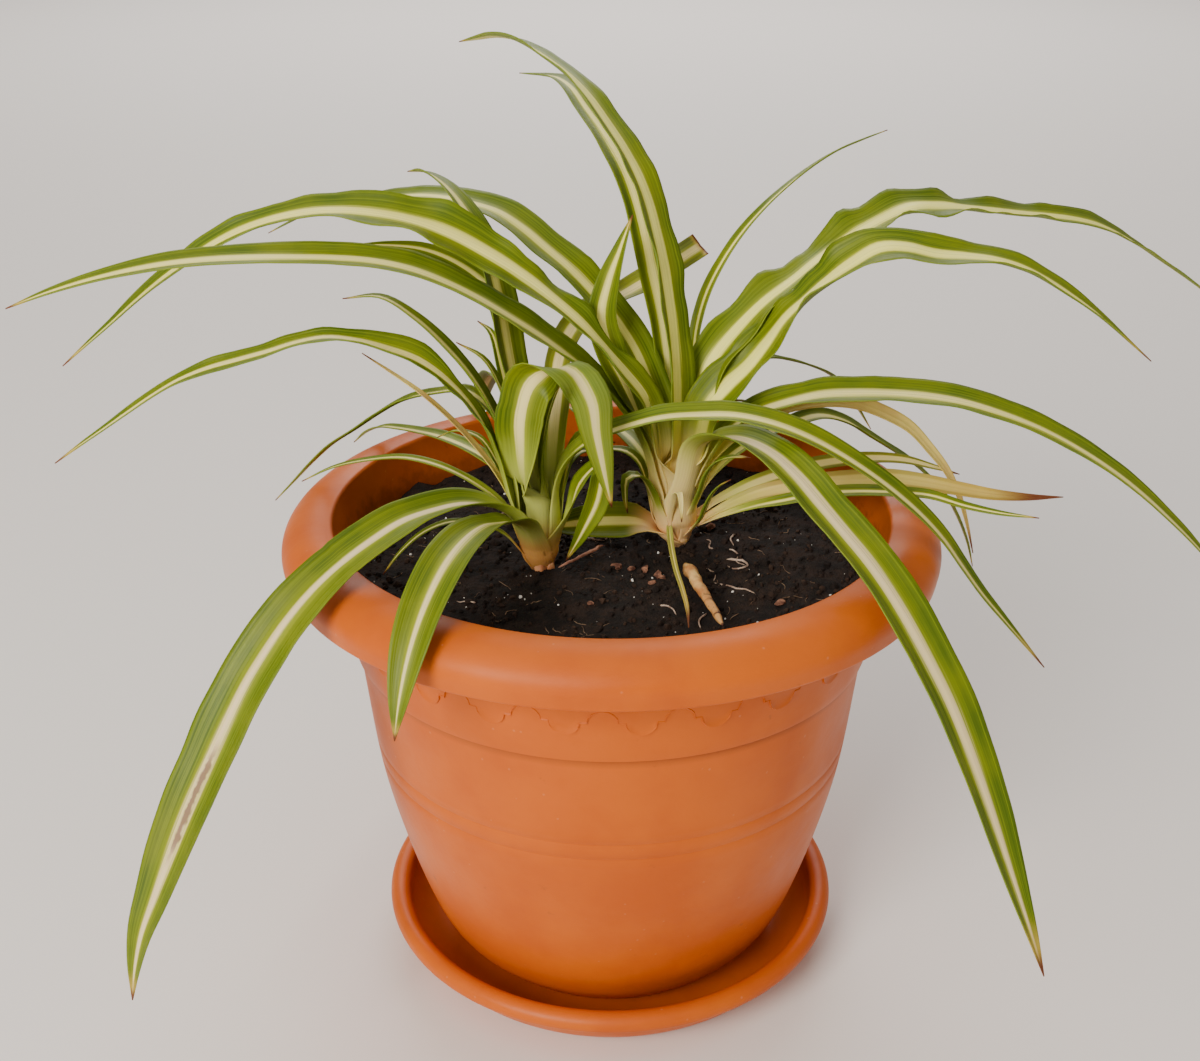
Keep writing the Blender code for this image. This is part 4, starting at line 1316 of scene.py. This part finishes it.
def blade_rows(side, name, rows, length, rank):
    """(midrib, left margin, right margin, distance from the crown) from the sheath's foot to the tip."""
    count = int(min(max(length / ROW_LENGTH, 16), 110))
    free = shape_blade(smooth_line(rows, count), name)
    walked = np.linspace(0, length, count)
    start = free[0, :3]
    outward = start[:2] - crown_axis(side, start[2])
    around = math.atan2(outward[1], outward[0])
    reach = math.hypot(*outward)
    drop = start[2] - SOIL_LEVEL + 3 * MM
    half = np.linalg.norm(free[0, 3:6] - free[0, 6:]) / 2
    tangent = np.array([-math.sin(around), math.cos(around), 0]) * half
    sheath = []
    for step in range(SHEATH_ROWS, 0, -1):
        share = step / SHEATH_ROWS
        height = start[2] - share * drop
        wrapped = crown_radius(side, height) + (0.6 + 0.05 * rank) * MM
        radius = reach + (wrapped - reach) * soft_step(share, 0, 0.8)
        axis = crown_axis(side, height)
        rib = np.array([axis[0] + radius * math.cos(around), axis[1] + radius * math.sin(around), height])
        sheath.append((rib, rib + tangent, rib - tangent, -share * drop))
    return sheath + [(row[:3], row[3:6], row[6:], along) for row, along in zip(free, walked)]


# %% Clasping the stem
TIGHTEST = 3.2 * MM  # radius of the narrowest sheath
MOST_WRAP = 2.0  # how far a sheath reaches round, in radians each way


def clasped(side, point, rib, across, wide, clasp):
    """A point of a blade on its way to its place in the sheath, which clasp gives as a share."""
    outward = rib[:2] - crown_axis(side, rib[2])
    around = math.atan2(outward[1], outward[0])
    radius = max(math.hypot(*outward), TIGHTEST)
    angle = around - across * min(wide * (1 + 0.5 * clasp) / radius, MOST_WRAP)
    shift = (math.cos(angle) - math.cos(around), math.sin(angle) - math.sin(around), 0)
    return point + (rib + radius * np.array(shift) - point) * clasp


# %% Bending a blade
SOFT_RIB = 0.05  # how round the fold along the midrib is
CHANNEL = 0.28  # how deep the channel is near the crown, as a share of half the width
BULGE = 0.10  # how much each half bulges, as the same share
RUFFLES = 52  # waves of the margin in each metre
SWELLING = 0.75  # how much a ruffle also widens and narrows the blade


def across_fold(spread):
    """Height of the fold's cross-section, from 0 at the midrib to 1 at the margin."""
    flat = math.sqrt(SOFT_RIB)
    return (math.sqrt(spread**2 + SOFT_RIB) - flat) / (math.sqrt(1 + SOFT_RIB) - flat)


def bend_blade(bm, side, rows, length, seed, columns, ruffle):
    """Bends a flat grid to the rows and writes the place of each vertex on the blade."""
    last = len(rows) - 1
    ribs = np.array([row[0] for row in rows])
    ahead = np.gradient(ribs, axis=0)
    clasp_reach = min(16 * MM, 0.25 * length)
    layer = bm.verts.layers.float_vector.new("blade")
    bmesh.ops.create_grid(bm, x_segments=columns, y_segments=last, size=1)
    for vert in bm.verts:
        across, row = vert.co.x, round((vert.co.y + 1) / 2 * last)
        rib, left, right, along = rows[row]
        margin = right if across > 0 else left
        spread = abs(across)
        free = max(along, 0)
        wide = np.linalg.norm(right - left) / 2
        upper = np.cross(right - left, ahead[row])
        upper /= max(np.linalg.norm(upper), 1e-12)
        rounded = across_fold(spread)
        lift = np.dot(margin - rib, upper)
        channel = CHANNEL * wide * (1 - soft_step(free, 0, 0.4 * length))
        point = rib + (margin - rib) * spread
        point = point + upper * (lift * (rounded - spread) + channel * rounded)
        point = point - upper * wide * BULGE * math.sin(math.pi * spread)
        ends = soft_step(free, 0.05 * length, 0.25 * length) * soft_step(length - free, 0, 0.1 * length)
        edge = ruffle * spread**2 * ends * (1.2 - free / length) ** 1.5
        beat = Vector((free * RUFFLES, 7.3 * (across > 0), seed))
        waver = noise.noise(beat) + 0.4 * noise.noise(beat * 1.9)
        swell = noise.noise(beat + Vector((11, 3, 0)))
        point = point + edge * (upper * waver * wide + (margin - rib) * swell * SWELLING)
        clasp = 1 - soft_step(along, 0, clasp_reach)
        if clasp > 0:
            point = clasped(side, point, rib, across, wide, clasp)
        vert.co = Vector(point)
        vert[layer] = Vector((across, along, length - free))
    bm.normal_update()


# %% All the leaves
def same_everywhere(mesh, name, values):
    """Writes one vector to every vertex."""
    layer = mesh.attributes.new(name, "FLOAT_VECTOR", "POINT")
    layer.data.foreach_set("vector", list(values) * len(mesh.vertices))


NARROW = 6 * MM  # a blade that is narrower needs fewer columns
BLADE_THICKNESS = 0.4 * MM


def add_leaf(node, rank):
    name = node.removeprefix("leaf_")
    side = name.split("_")[0]
    rows, length = stations[node], lengths[node]
    width = max(np.linalg.norm(row[3:6] - row[6:]) for row in rows)
    columns = 8 if width < NARROW else 14
    seed = rank * 1.7 + (0 if side == "left" else 60)
    cream, warmth, age, dry, ruffle = LEAF_TRAITS.get(name, COMMON_TRAITS)
    bm = bmesh.new()
    bend_blade(bm, side, blade_rows(side, name, rows, length, rank), length, seed, columns, ruffle)
    blade = add_piece(f"blade_{name}", bm, leaf_upper, node)
    blade.data.materials.append(leaf_under)
    pale = PALE_BASES.get(name, min(PALE_BASE, 0.35 * length))
    same_everywhere(blade.data, "traits", (cream, age, math.sin(seed * 12.9) * 0.5 + 0.5))
    same_everywhere(blade.data, "ends", (pale, 1.0 if side == "right" else 0.0, dry * MM))
    same_everywhere(blade.data, "tone", (warmth, *SCARS.get(name, (0, 0))))
    skin = blade.modifiers.new("thickness", "SOLIDIFY")
    skin.thickness = BLADE_THICKNESS
    skin.offset = -1
    skin.material_offset = 1
    skin.material_offset_rim = 1
    return blade


faces = 0
for side in ("left", "right"):
    of_side = [node for node in leaf_nodes if node.startswith(f"leaf_{side}")]
    of_side.sort(key=lambda node: -stations[node][0, 2])  # the highest start is the youngest leaf
    for rank, node in enumerate(of_side):
        faces += len(add_leaf(node, rank).data.polygons)
print(f"{len(leaf_nodes)} blades, {faces} faces before they get their thickness")

# %% [markdown]
# ## Floor
#
# The plant stands on a plain pale floor, which isn't part of the object.

# %% Floor
floor_material, _, floor_shader, _ = new_material("pale floor", 0.7)
floor_shader["Base Color"].default_value = rgb(236, 230, 224)
floor_bm = bmesh.new()
bmesh.ops.create_grid(floor_bm, x_segments=1, y_segments=1, size=8)
floor_mesh = new_mesh("floor", floor_bm)
floor_mesh.materials.append(floor_material)
floor = new_object("floor", floor_mesh)
